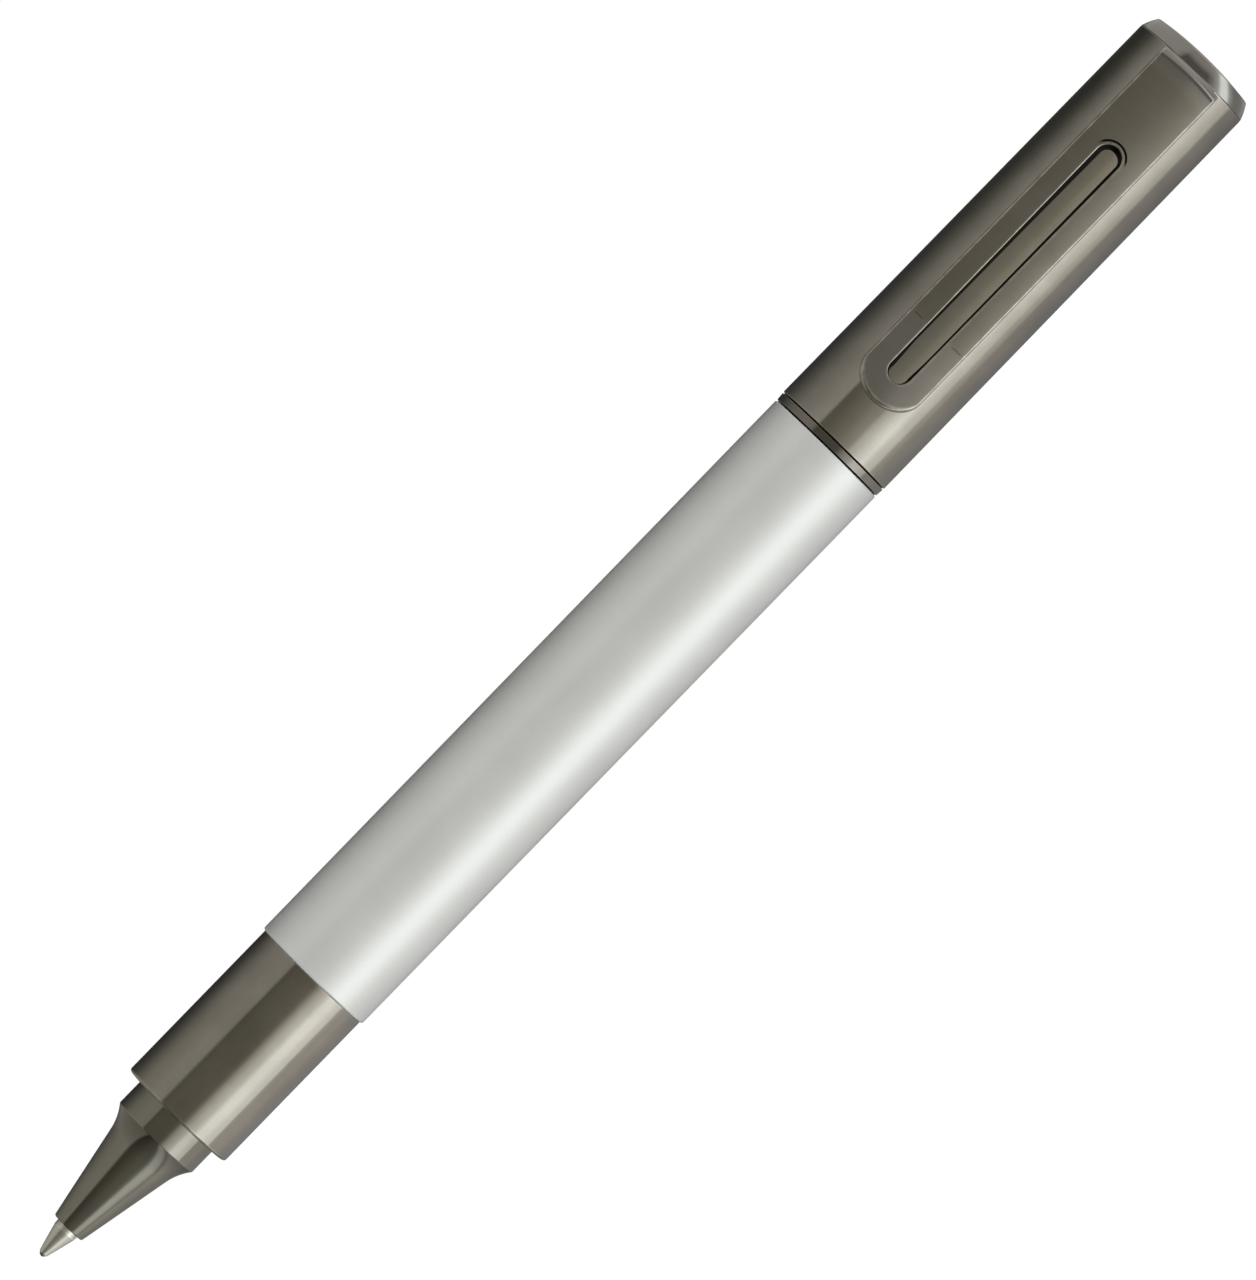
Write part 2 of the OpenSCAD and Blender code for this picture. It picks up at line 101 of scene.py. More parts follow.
def left_normal(start, end):
    """The unit normal on the left of the way from start to end."""
    way = unit(np.array([end[0] - start[0], end[1] - start[1]], float))
    return np.array([-way[1], way[0]])


def fillet(outline, closed=True):
    """Rounds the corners of an outline that keeps the solid on its right.

    outline: (station, radius[, fillet radius[, fillet segments[, edge mark if not rounded]]]).
    Returns [(position, normal, edge)]: edge is 1 on a rounded outside corner, -1 on an inside one.
    """
    corners = [np.array(entry[:2], float) for entry in outline]
    count = len(corners)
    result = []
    for i, (here, entry) in enumerate(zip(corners, outline)):
        radius, segments, mark = (*entry[2:], *(0.0, 4, 0.0)[len(entry) - 2:])
        following = corners[(i + 1) % count]
        if not closed and i == 0:
            result.append((here, left_normal(here, following), 0.0))
            continue
        before = left_normal(corners[i - 1], here)
        if not closed and i == count - 1:
            result.append((here, before, 0.0))
            continue
        after = left_normal(here, following)
        back, ahead = corners[i - 1] - here, following - here
        back_length, ahead_length = np.linalg.norm(back), np.linalg.norm(ahead)
        back, ahead = back / back_length, ahead / ahead_length
        turn = math.atan2(before[0] * after[1] - before[1] * after[0], float(before @ after))
        if radius <= 0 or abs(turn) < 0.02:
            result.append((here, unit(before + after), mark))
            continue
        cut = radius * math.tan(abs(turn) / 2)
        limit = 0.46 * min(back_length, ahead_length)
        if cut > limit:
            cut, radius = limit, limit / math.tan(abs(turn) / 2)
        sign = 1 if turn < 0 else -1
        first, last = here + back * cut, here + ahead * cut
        centre = first - before * radius * sign
        start_angle = math.atan2(before[1], before[0])
        # a guard point on each side keeps the flats' shading flat
        result.append((first + back * min(0.10, 0.25 * (back_length - cut)), before, 0.0))
        for k in range(segments + 1):
            angle = start_angle + turn * k / segments
            normal = np.array([math.cos(angle), math.sin(angle)])
            result.append((centre + normal * radius * sign, normal, float(sign)))
        result.append((last + ahead * min(0.10, 0.25 * (ahead_length - cut)), after, 0.0))
    return result


def make_mesh(name, verts, faces, normals=None, edges=None):
    """Links a smooth object whose "edge" attribute marks worn corners (above 0) and painted shade (below 0).
    """
    mesh = bpy.data.meshes.new(name)
    mesh.from_pydata([tuple(float(c) * MM for c in v) for v in verts], [], faces)
    mesh.update()
    mesh.polygons.foreach_set("use_smooth", [True] * len(mesh.polygons))
    attribute = mesh.attributes.new("edge", "FLOAT", "POINT")
    attribute.data.foreach_set("value", np.array(edges or [0.0] * len(verts), np.float32))
    if normals is not None:
        mesh.normals_split_custom_set_from_vertices([tuple(map(float, n)) for n in normals])
    obj = bpy.data.objects.new(name, mesh)
    bpy.context.scene.collection.objects.link(obj)
    return obj


class MeshParts:
    """Collects the vertices, normals, edge marks and faces of one piece."""

    def __init__(self):
        self.verts, self.normals, self.edges, self.faces = [], [], [], []

    def add(self, position, normal, edge=0.0):
        self.verts.append(position)
        self.normals.append(normal)
        self.edges.append(edge)
        return len(self.verts) - 1

    def face(self, points, normal, edge, flip=False):
        """Adds one flat face with vertices of its own."""
        ids = [self.add(point, normal, edge) for point in points]
        self.faces.append(tuple(reversed(ids)) if flip else tuple(ids))

    def bridge(self, a, b, flip=False):
        """Faces between two rings of the same length; a ring of one vertex makes a fan."""
        count = max(len(a), len(b))
        for k in range(count):
            k2 = (k + 1) % count
            if len(a) == 1:
                face = (a[0], b[k], b[k2])
            elif len(b) == 1:
                face = (a[k], b[0], a[k2])
            else:
                face = (a[k], b[k], b[k2], a[k2])
            self.faces.append(tuple(reversed(face)) if flip else face)

    def turn(self, outline, closed=True, segments=SEGMENTS, upright_at=None):
        """Adds a turned solid about the X axis, or about an upright axis at station upright_at."""
        rings = []
        for (along, radius), normal, edge in fillet(outline, closed):
            along, radius = float(along), float(radius)
            pole = radius < 1e-6
            n_along, n_out = (math.copysign(1.0, normal[0]), 0.0) if pole else normal
            ring = []
            for k in range(1 if pole else segments):
                angle = 2 * math.pi * k / segments
                c, s = math.cos(angle), math.sin(angle)
                if upright_at is None:
                    position, facing = (along, radius * s, radius * c), (n_along, n_out * s, n_out * c)
                else:
                    position = (radius * s + upright_at, radius * c, along)
                    facing = (n_out * s, n_out * c, n_along)
                ring.append(self.add(position, facing, edge))
            rings.append(ring)
        for i in range(len(rings) if closed else len(rings) - 1):
            self.bridge(rings[i], rings[(i + 1) % len(rings)])

    def done(self, name):
        return make_mesh(name, self.verts, self.faces, self.normals, self.edges)


def lathe(name, outline, segments=SEGMENTS):
    parts = MeshParts()
    parts.turn(outline, segments=segments)
    return parts.done(name)


def thread(crest_r, start, count):
    """Outline of a thread drawn as separate rings with soft crests and roots."""
    root_r = crest_r - THREAD_DEPTH
    outline = [(start, root_r, 0.05, 2)]
    for i in range(count):
        outline += [(start + (i + 0.30) * THREAD_PITCH, crest_r, 0.04, 2),
                    (start + (i + 0.45) * THREAD_PITCH, crest_r, 0.04, 2),
                    (start + (i + 0.80) * THREAD_PITCH, root_r, 0.05, 2)]
    return outline + [(start + count * THREAD_PITCH, root_r)]


def finish(obj, material, body, slot, *nodes):
    """Gives a piece its material, the body it rides on and the frame nodes it replaces."""
    obj.data.materials.append(material)
    if body:
        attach(obj, body)
    if nodes:
        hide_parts(*nodes)


# ---------------------------------------------------------------- light and camera numbers
# Brightness of the soft panels round the pen: (degrees from straight up towards -Y, brightness).
# One table for each lean of the light along the pen, from the nose (-X) to the tail (+X).
AT_NOSE = [
    (-180, 0.20), (-150, 0.34), (-120, 0.41), (-90, 0.44), (-56, 0.46), (-45, 0.46), (-40, 0.22),
    (-35, 0.11), (-26, 0.12), (-8, 0.17), (10, 0.23), (30, 0.26), (39, 0.38), (50, 1.02),
    (62, 1.05), (73, 0.85), (79, 0.44), (84, 0.54), (92, 0.70), (120, 0.47), (150, 0.20),
    (180, 0.08)]
AT_GRIP = [
    (-180, 0.03), (-150, 0.05), (-135, 0.09), (-120, 0.17), (-105, 0.29), (-90, 0.39), (-60, 0.46),
    (-40, 0.44), (-35, 0.17), (-26, 0.20), (0, 0.19), (13, 0.20), (18, 0.32), (24, 0.70),
    (32, 1.00), (42, 1.30), (51, 2.00), (62, 1.94), (72, 1.62), (80, 1.50), (83, 0.75),
    (104, 0.70), (120, 0.56), (150, 0.38), (180, 0.10)]
AT_MOUTH = [
    (-180, 0.03), (-150, 0.06), (-135, 0.10), (-120, 0.18), (-105, 0.28), (-90, 0.37), (-70, 0.42),
    (-52, 0.54), (-39, 0.58), (-35, 0.17), (-26, 0.19), (-10, 0.31), (4, 0.41), (16, 0.54),
    (25, 0.56), (31, 1.05), (42, 1.40), (52, 1.72), (62, 2.10), (72, 1.45), (85, 1.30), (89, 0.65),
    (104, 0.58), (120, 0.49), (150, 0.32), (180, 0.10)]
AT_TAIL = [
    (-180, 0.05), (-135, 0.05), (-120, 0.07), (-105, 0.12), (-90, 0.25), (-70, 0.44), (-40, 0.54),
    (-34, 0.30), (-8, 0.33), (3, 0.37), (9, 0.48), (20, 0.56), (32, 0.80), (42, 1.10), (52, 1.50),
    (72, 1.44), (84, 1.16), (95, 1.05), (102, 0.50), (120, 0.41), (150, 0.24), (180, 0.10)]
AT_BEND = [
    (-180, 0.50), (-50, 0.54), (-40, 0.54), (-34, 0.26), (-8, 0.28), (3, 0.31), (8, 0.50),
    (20, 0.57), (40, 1.00), (54, 1.50), (66, 1.50), (80, 0.90), (95, 0.42), (130, 0.36),
    (180, 0.50)]
AT_DIP = [
    (-180, 0.60), (-50, 0.54), (-40, 0.42), (-34, 0.17), (30, 0.19), (46, 0.42), (62, 0.80),
    (72, 1.80), (88, 1.85), (98, 0.75), (112, 0.40), (130, 0.36), (180, 0.60)]
AT_BACK = [
    (-180, 0.70), (-160, 0.66), (-138, 0.54), (-50, 0.54), (-40, 0.48), (-34, 0.46), (30, 0.50),
    (46, 0.56), (62, 0.80), (72, 1.85), (88, 1.90), (98, 0.78), (112, 0.42), (130, 0.38),
    (155, 0.54), (180, 0.70)]
# The studio starts as AT_GRIP and changes to each table between two leans: (from, to, table).
STUDIO_CHANGES = [
    (0.0, 0.072, AT_MOUTH), (0.072, 0.106, AT_TAIL), (0.14, 0.32, AT_BEND), (0.40, 0.54, AT_DIP),
    (0.80, 0.92, AT_BACK), (0.0, -0.37, AT_NOSE)]
LEAN_OFFSET = 0.0475                         # added to the light direction's X to give its lean
# (X of the light direction, gain)
ALONG = [(-1.0, 0.55), (-0.66, 0.82), (-0.44, 1.0), (1.0, 1.0)]
# (degrees as above, colour)
TINT = [
    (-180, (1.00, 1.00, 0.93)), (-60, (1.02, 1.00, 0.955)), (-40, (1.02, 1.00, 0.95)),
    (-34, (1.03, 1.00, 0.86)), (14, (1.04, 1.00, 0.89)), (26, (1.01, 1.00, 0.94)),
    (50, (0.96, 1.00, 1.02)), (78, (0.98, 1.00, 1.01)), (86, (1.01, 1.00, 0.98)),
    (130, (1.00, 1.00, 1.02)), (180, (1.00, 1.00, 0.95))]
# Brightness for diffuse light only: (degrees as above, brightness)
DOME = [
    (-180, 0.15), (-150, 0.12), (-66, 0.05), (-44, 1.56), (-15, 1.22), (0, 0.74), (30, 0.98),
    (80, 1.20), (100, 0.90), (112, 0.20), (180, 0.15)]
CAMERA_LENS = 354.0
CAMERA_EYE = (0.07333, 0.00071, 1.085)       # metres; above the pen's middle, looking straight down
CAMERA_ROLL = 45.80                          # degrees the pen rises above the picture's horizontal


# ---------------------------------------------------------------- shader node helpers
class Nodes:
    """Builds the node tree of one material or world."""

    def __init__(self, owner):
        owner.use_nodes = True
        self.tree = owner.node_tree
        self.tree.nodes.clear()

    def node(self, kind, **props):
        node = self.tree.nodes.new(kind)
        for key, value in props.items():
            setattr(node, key, value)
        return node

    def put(self, socket, value):
        """Links or sets an input; a colour of three gets an alpha of 1."""
        if isinstance(value, bpy.types.NodeSocket):
            self.tree.links.new(value, socket)
        elif isinstance(value, (tuple, list)) and len(value) == 3 and len(socket.default_value) == 4:
            socket.default_value = (*value, 1.0)
        else:
            socket.default_value = value

    def vector(self, operation, a, b=None, scale=None):
        node = self.node("ShaderNodeVectorMath", operation=operation)
        self.put(node.inputs[0], a)
        if b is not None:
            self.put(node.inputs[1], b)
        if scale is not None:
            self.put(node.inputs["Scale"], scale)
        return node.outputs["Vector"]

    def math(self, operation, a, b=0.0, clamp=False):
        node = self.node("ShaderNodeMath", operation=operation, use_clamp=clamp)
        self.put(node.inputs[0], a)
        self.put(node.inputs[1], b)
        return node.outputs[0]

    def scaled(self, value, by, clamp=False):
        return self.math("MULTIPLY", value, by, clamp)

    def total(self, value, *terms):
        for term in terms:
            value = self.math("ADD", value, term)
        return value

    def remap(self, value, span, to=(0.0, 1.0), kind="SMOOTHSTEP"):
        node = self.node("ShaderNodeMapRange", clamp=True, interpolation_type=kind)
        keys = ("Value", "From Min", "From Max", "To Min", "To Max")
        for key, setting in zip(keys, (value, *span, *to)):
            self.put(node.inputs[key], setting)
        return node.outputs[0]

    def mix(self, factor, a, b, how="MIX"):
        node = self.node("ShaderNodeMix", data_type="RGBA", blend_type=how, clamp_factor=True)
        for index, value in ((0, factor), (6, a), (7, b)):
            self.put(node.inputs[index], value)
        return node.outputs[2]

    def split(self, vector):
        node = self.node("ShaderNodeSeparateXYZ")
        self.put(node.inputs[0], vector)
        return node.outputs

    def ramp(self, factor, table, low=-180, length=360):
        """A linear colour ramp; the table's places run from low over length."""
        node = self.node("ShaderNodeValToRGB")
        elements = node.color_ramp.elements
        node.color_ramp.interpolation = "LINEAR"
        while len(elements) < len(table):
            elements.new(0.5)
        for element, (place, value) in zip(elements, table):
            element.position = (place - low) / length
            element.color = (*(value if isinstance(value, tuple) else (value,) * 3), 1.0)
        self.put(node.inputs[0], factor)
        return node.outputs[0]


class Material(Nodes):
    """One material; its textures run in millimetres along the pen's own axes."""

    def __init__(self, name):
        self.material = bpy.data.materials.new(name)
        super().__init__(self.material)
        self.output = self.node("ShaderNodeOutputMaterial")
        coordinates = self.node("ShaderNodeTexCoord")
        self.mm = self.vector("SCALE", coordinates.outputs["Object"], scale=1000.0)

    def shader(self, kind, settings):
        """Makes the surface shader from {input name: value} and returns the material."""
        node = self.node(kind)
        for key, value in settings.items():
            self.put(node.inputs[key], value)
        self.tree.links.new(node.outputs[0], self.output.inputs[0])
        return self.material

    def noise(self, scale, stretch=(1, 1, 1), detail=3.0, rough=0.5, seed=0.0):
        place = self.vector("MULTIPLY", self.mm, stretch)
        if seed:
            place = self.vector("ADD", place, (seed, seed * 0.7, -seed))
        node = self.node("ShaderNodeTexNoise", noise_dimensions="3D")
        for key, value in (("Vector", place), ("Scale", scale), ("Detail", detail),
                           ("Roughness", rough)):
            self.put(node.inputs[key], value)
        return node.outputs["Fac"]

    def cells(self, scale, seed=0.0):
        node = self.node("ShaderNodeTexVoronoi", feature="F1")
        self.put(node.inputs["Vector"], self.vector("ADD", self.mm, (seed, 0, seed)))
        self.put(node.inputs["Scale"], scale)
        return self.split(node.outputs["Color"])

    def edges(self):
        """The mesh's edge mark as (outside corners, inside corners)."""
        node = self.node("ShaderNodeAttribute", attribute_name="edge", attribute_type="GEOMETRY")
        edge = node.outputs["Fac"]
        return (self.math("MAXIMUM", edge, 0.0),
                self.math("MAXIMUM", self.scaled(edge, by=-1.0), 0.0))

    def bump(self, height, strength, distance):
        node = self.node("ShaderNodeBump")
        self.put(node.inputs["Height"], height)
        self.put(node.inputs["Strength"], strength)
        self.put(node.inputs["Distance"], distance)
        return node.outputs["Normal"]


def tone(colour, gain, lift=0.0):
    return [min(1, c * gain + lift) for c in colour]


# ---------------------------------------------------------------- materials
def plated(name, base, rough, turned=0.35, wear=0.5, edge_gain=1.0):
    """Polished dark plating: faint turning lines, hairline scratches, smudges, brighter edges, and painted
    shade where the edge mark is below 0.
    """
    mat = Material(name)
    outside, inside = mat.edges()
    outside = mat.scaled(outside, by=edge_gain, clamp=True)
    inside = mat.scaled(inside, by=0.55, clamp=True)
    cloud = mat.noise(scale=0.22, detail=4.0, rough=0.6)
    grain = mat.noise(scale=9.0, detail=2.0, seed=3.0)
    lines = mat.noise(scale=1.0, stretch=(26.0, 0.02, 0.02), detail=4.0, rough=0.65, seed=5.0)
    streaks = mat.noise(scale=1.0, stretch=(0.35, 7.0, 7.0), detail=5.0, rough=0.7, seed=11.0)
    scratch = mat.remap(streaks, span=(0.62, 0.70))
    pit = mat.remap(mat.noise(scale=14.0, detail=1.0, seed=21.0), span=(0.74, 0.80))
    patches = mat.noise(scale=0.9, detail=5.0, rough=0.7, seed=7.0)
    worn = mat.scaled(outside, by=mat.remap(patches, span=(0.36, 0.66), to=(0.25, 1.0)), clamp=True)

    blotch = 0.06
    smudge = mat.remap(cloud, span=(0.3, 0.7))
    colour = mat.mix(smudge, tone(base, gain=1 - blotch), tone(base, gain=1 + blotch))
    speckle = mat.scaled(mat.remap(grain, span=(0.35, 0.75)), by=0.05)
    colour = mat.mix(speckle, colour, (0.05, 0.05, 0.05))
    colour = mat.mix(mat.scaled(worn, by=wear), colour, (0.62, 0.58, 0.50))
    # painted shade: inside corners, joints and the marked dark lines go towards near black
    colour = mat.mix(inside, colour, (0.010, 0.010, 0.009))
    roughness = mat.total(mat.remap(cloud, span=(0.25, 0.8), to=(rough * 0.85, rough * 1.25)),
                          mat.scaled(scratch, by=0.025), mat.scaled(worn, by=0.08),
                          mat.scaled(pit, by=0.05))
    height = mat.total(mat.scaled(lines, by=turned), mat.scaled(grain, by=0.05))
    height = mat.math("SUBTRACT", height, mat.scaled(scratch, by=0.05))
    return mat.shader("ShaderNodeBsdfPrincipled", {
        "Base Color": colour, "Metallic": 1.0, "Roughness": roughness,
        "Normal": mat.bump(height, strength=0.10, distance=0.00002)})


def pearl(name, base, rough):
    """Satin pearl lacquer: fine flakes under a thin clear coat with faint orange peel."""
    mat = Material(name)
    outside, inside = mat.edges()
    flake = mat.cells(scale=11.0)[0]
    fine = mat.cells(scale=26.0, seed=4.0)[1]
    cloud = mat.noise(scale=0.16, detail=4.0, rough=0.55)
    smudge = mat.remap(cloud, span=(0.3, 0.7))
    colour = mat.mix(smudge, tone(base, gain=0.975), tone(base, gain=1.02))
    colour = mat.mix(mat.scaled(flake, by=0.07), colour, (1.0, 1.0, 0.98), "SCREEN")
    colour = mat.mix(mat.scaled(fine, by=0.10), colour, tone(base, gain=0.86))
    colour = mat.mix(mat.scaled(inside, by=0.5), colour, (0.08, 0.08, 0.075))
    patches = mat.noise(scale=0.8, detail=5.0, seed=7.0)
    worn = mat.scaled(outside, by=mat.remap(patches, span=(0.45, 0.7), to=(0.0, 0.8)))
    colour = mat.mix(worn, colour, (0.80, 0.79, 0.74))
    peel = mat.noise(scale=0.55, detail=3.0, rough=0.5, seed=2.0)
    roughness = mat.total(mat.remap(cloud, span=(0.3, 0.75), to=(rough * 0.94, rough * 1.08)),
                          mat.scaled(fine, by=0.03))
    flakes = mat.total(mat.scaled(flake, by=0.5), fine)
    return mat.shader("ShaderNodeBsdfPrincipled", {
        "Base Color": colour, "Metallic": 0.42, "Roughness": roughness,
        "Normal": mat.bump(flakes, strength=0.10, distance=0.000012),
        "Coat Weight": 0.30, "Coat Roughness": 0.20, "Coat IOR": 1.5,
        "Coat Normal": mat.bump(peel, strength=0.05, distance=0.00012)})


def bare_metal(name, base, rough, stretch=(14.0, 0.02, 0.02), strength=0.22,
               dull=(0.25, 0.22, 0.16), tarnish=0.18):
    """Machined metal with turning lines and a little tarnish in the corners."""
    mat = Material(name)
    outside, inside = mat.edges()
    lines = mat.noise(scale=1.0, stretch=stretch, detail=5.0, rough=0.7, seed=1.0)
    cloud = mat.noise(scale=0.7, detail=5.0, rough=0.6, seed=9.0)
    speck = mat.remap(mat.noise(scale=7.0, detail=2.0, seed=13.0), span=(0.66, 0.74))
    tarnished = mat.scaled(mat.remap(cloud, span=(0.42, 0.72)), by=tarnish)
    colour = mat.mix(tarnished, base, dull)
    colour = mat.mix(mat.scaled(speck, by=0.25), colour, dull)
    colour = mat.mix(mat.scaled(inside, by=0.6), colour, tone(dull, gain=0.25))
    colour = mat.mix(mat.scaled(outside, by=0.5), colour, tone(base, gain=1.25))
    roughness = mat.total(mat.remap(lines, span=(0.3, 0.7), to=(rough * 0.8, rough * 1.3)),
                          mat.scaled(cloud, by=0.06))
    return mat.shader("ShaderNodeBsdfPrincipled", {
        "Base Color": colour, "Metallic": 1.0, "Roughness": roughness,
        "Normal": mat.bump(lines, strength=strength, distance=0.00003)})


def moulded(name, base, rough, spread=0.06, grain=6.0, strength=0.2, sheen=0.0):
    """Moulded plastic or rubber: soft mottling, fine grain, paler edges and darker corners."""
    mat = Material(name)
    outside, inside = mat.edges()
    cloud = mat.noise(scale=0.5, detail=4.0, rough=0.6)
    fine = mat.noise(scale=grain, detail=4.0, rough=0.6, seed=3.0)
    colour = mat.mix(cloud, tone(base, gain=1 - spread), tone(base, gain=1 + spread))
    speckle = mat.scaled(mat.remap(fine, span=(0.55, 0.75)), by=0.2)
    colour = mat.mix(speckle, colour, tone(base, gain=1.3, lift=0.02))
    colour = mat.mix(mat.scaled(outside, by=0.4), colour, tone(base, gain=1.5, lift=0.05))
    colour = mat.mix(mat.scaled(inside, by=0.4), colour, tone(base, gain=0.5))
    roughness = mat.remap(fine, span=(0.3, 0.7), to=(rough * 0.85, min(1.0, rough * 1.2)))
    return mat.shader("ShaderNodeBsdfPrincipled", {
        "Base Color": colour, "Metallic": 0.0, "Roughness": roughness, "IOR": 1.48,
        "Normal": mat.bump(fine, strength=strength, distance=0.00002), "Sheen Weight": sheen})


PLATE = (0.360, 0.335, 0.290)
plate = plated("dark_plate", PLATE, rough=0.085)
plate_nose = plated("dark_plate_nose", (0.278, 0.262, 0.222), rough=0.075, edge_gain=0.35)
plate_clip = plated("dark_plate_clip", tone(PLATE, gain=0.95), rough=0.20, turned=0.0, wear=0.75)
plate_ring = plated("dark_plate_ring", tone(PLATE, gain=0.74), rough=0.085, edge_gain=0.3)
lacquer = pearl("pearl_lacquer", (0.715, 0.722, 0.690), rough=0.33)
nickel_silver = bare_metal("nickel_silver", (0.76, 0.735, 0.66), rough=0.30, strength=0.05,
                           tarnish=0.06)
carbide = bare_metal("carbide", (0.30, 0.29, 0.28), rough=0.16, stretch=(3, 3, 3), strength=0.08)
steel = bare_metal("refill_steel", (0.58, 0.57, 0.55), rough=0.24)
spring_steel = bare_metal("spring_steel", (0.50, 0.49, 0.47), rough=0.26, stretch=(5, 5, 5),
                          strength=0.1)
brass = bare_metal("brass", (0.80, 0.61, 0.30), rough=0.24, dull=(0.33, 0.20, 0.09))
acetal = moulded("cream_acetal", (0.78, 0.75, 0.66), rough=0.42)
black_plastic = moulded("black_plastic", (0.030, 0.030, 0.032), rough=0.45)
ink = moulded("ink", (0.012, 0.014, 0.050), rough=0.12, spread=0.3, grain=2.0, strength=0.05)
rubber = moulded("black_rubber", (0.022, 0.022, 0.022), rough=0.72, grain=9.0, strength=0.4,
                 sheen=0.3)

# ---------------------------------------------------------------- writing ball
ball_lo, ball_hi = box_mm("writing_ball")
ball_r = (ball_hi[0] - ball_lo[0]) / 2
ball_x = (ball_hi[0] + ball_lo[0]) / 2
BALL_ROWS, BALL_COLUMNS = 32, 64

ball = MeshParts()
previous = None
for i in range(BALL_ROWS + 1):
    c, s = math.cos(math.pi * i / BALL_ROWS), math.sin(math.pi * i / BALL_ROWS)
    columns = BALL_COLUMNS if 0 < i < BALL_ROWS else 1
    ring = []
    for k in range(columns):
        around = 2 * math.pi * k / BALL_COLUMNS
        normal = (-c, s * math.sin(around), s * math.cos(around))
        ring.append(ball.add((ball_x - ball_r * c, ball_r * normal[1], ball_r * normal[2]), normal))
    if previous:
        ball.bridge(previous, ring)
    previous = ring
finish(ball.done("ball_piece"), carbide, "ball", "carbide", "writing_ball")

# ---------------------------------------------------------------- refill tip, with the ball's socket
(tip_lip, _, _), (_, _, tip_r) = box_mm("refill_point")
socket_r = ball_r + 0.012
tip_end, tip_bore_r, ink_hole_r = 8.60, 0.45, 0.20
socket = [(ball_x - math.cos(angle) * socket_r, math.sin(angle) * socket_r)
          for angle in np.linspace(math.acos((ball_x - tip_lip) / socket_r), 2.62, 9)]
finish(lathe("tip_piece", [
    (tip_lip, socket[0][1], 0.008, 2), (tip_lip, 0.40, 0.012, 2), (tip_lip + 0.06, 0.425, 0.02, 2),
    (tip_lip + 0.75, 0.62), (2.92, tip_r - 0.02, 0.30, 8), (3.9, tip_r), (tip_end, tip_r, 0.06, 3),
    (tip_end, tip_bore_r, 0.05, 2), (1.70, tip_bore_r, 0.05, 2), (1.55, ink_hole_r, 0.05, 2),
    (0.62, ink_hole_r, 0.02, 2), *reversed(socket[1:])], segments=160),
    nickel_silver, "refill", "nickel_silver", "refill_point")

# ---------------------------------------------------------------- nose: a cone that flares to a collar
cone_front_r, cone_end, cone_end_r = 1.61, 11.93, 3.29
collar_x, collar_r = 14.25, 4.33
cone_slope = (cone_end_r - cone_front_r) / (cone_end - nose_start)
nose_crest_r = 4.20
nose_root_r = nose_crest_r - THREAD_DEPTH
flare = []
straight_rise = (collar_x - cone_end) * cone_slope
for i in range(25):
    part = i / 24
    flare.append((cone_end + (collar_x - cone_end) * part,
                  cone_end_r + straight_rise * part
                  + (collar_r - cone_end_r - straight_rise) * part ** 2.3))
flare[-1] = (*flare[-1], 0.16, 5)
finish(lathe("nose_piece", [
    (nose_start + 0.06, 1.21, 0.04, 3), (nose_start, 1.49, 0.04, 3),
    (nose_start + 0.05, 1.595, 0.05, 3), (nose_start + 0.14, 1.630, 0.10),
    *[(x, cone_front_r + cone_slope * (x - nose_start)) for x in (6.0, 9.0)], *flare,
    (grip_start, collar_r, 0.05), (grip_start, nose_root_r, 0.05, 3),
    *thread(nose_crest_r, grip_start + THREAD_LEAD, 10),
    (nose_spigot_end, nose_root_r, 0.10, 3), (nose_spigot_end, 3.10, 0.10, 3),
    (17.90, 3.10, 0.05, 2), (17.90, 2.35, 0.10, 3), (9.40, 2.35, 0.08, 3), (9.40, 1.67, 0.08, 3),
    (7.30, 1.67, 0.10, 3), (6.00, 1.21, 0.10, 3)]),
    plate_nose, "lower_barrel", "dark_plate", "nose_cone")

# ---------------------------------------------------------------- grip
grip_front_bore_r, grip_rear_bore_r = 4.26, 3.45
grip_bore_step = nose_spigot_end + 0.2
grip_crest_r = 4.80
grip_root_r = grip_crest_r - THREAD_DEPTH
finish(lathe("grip_piece", [
    (grip_start, grip_front_bore_r, 0.05, 3), (grip_start, grip_r, 0.25, 8),
    (grip_start + 5, grip_r), (grip_end, grip_r, 0.07), (grip_end, grip_root_r, 0.05, 3),
    *thread(grip_crest_r, grip_end + THREAD_LEAD, 8),
    (grip_spigot_end, grip_root_r, 0.10, 3), (grip_spigot_end, grip_rear_bore_r, 0.10, 3),
    (grip_bore_step, grip_rear_bore_r, 0.05, 3), (grip_bore_step, grip_front_bore_r, 0.05, 3)]),
    plate, "lower_barrel", "dark_plate", "grip_section")

# ---------------------------------------------------------------- barrel sleeve, slightly tapered
sleeve_front_r, sleeve_rear_r, sleeve_bore_r = 5.91, 5.97, 5.45
sleeve_taper_start, sleeve_taper_length = 33.76, 63.2
finish(lathe("barrel_piece", [
    (barrel_start, sleeve_bore_r, 0.05, 3), (barrel_start, 5.80, 0.05),
    (barrel_start + 0.13, sleeve_front_r, 0.08),
    *[(x, sleeve_front_r + (sleeve_rear_r - sleeve_front_r)
       * (x - sleeve_taper_start) / sleeve_taper_length) for x in (45.0, 60.0, 75.0, 88.0)],
    (barrel_end - 0.08, sleeve_rear_r, 0.06), (barrel_end, 5.90, 0.04, 3),
    (barrel_end, sleeve_bore_r, 0.05, 3)]),
    lacquer, "lower_barrel", "pearl_lacquer", "barrel_sleeve")
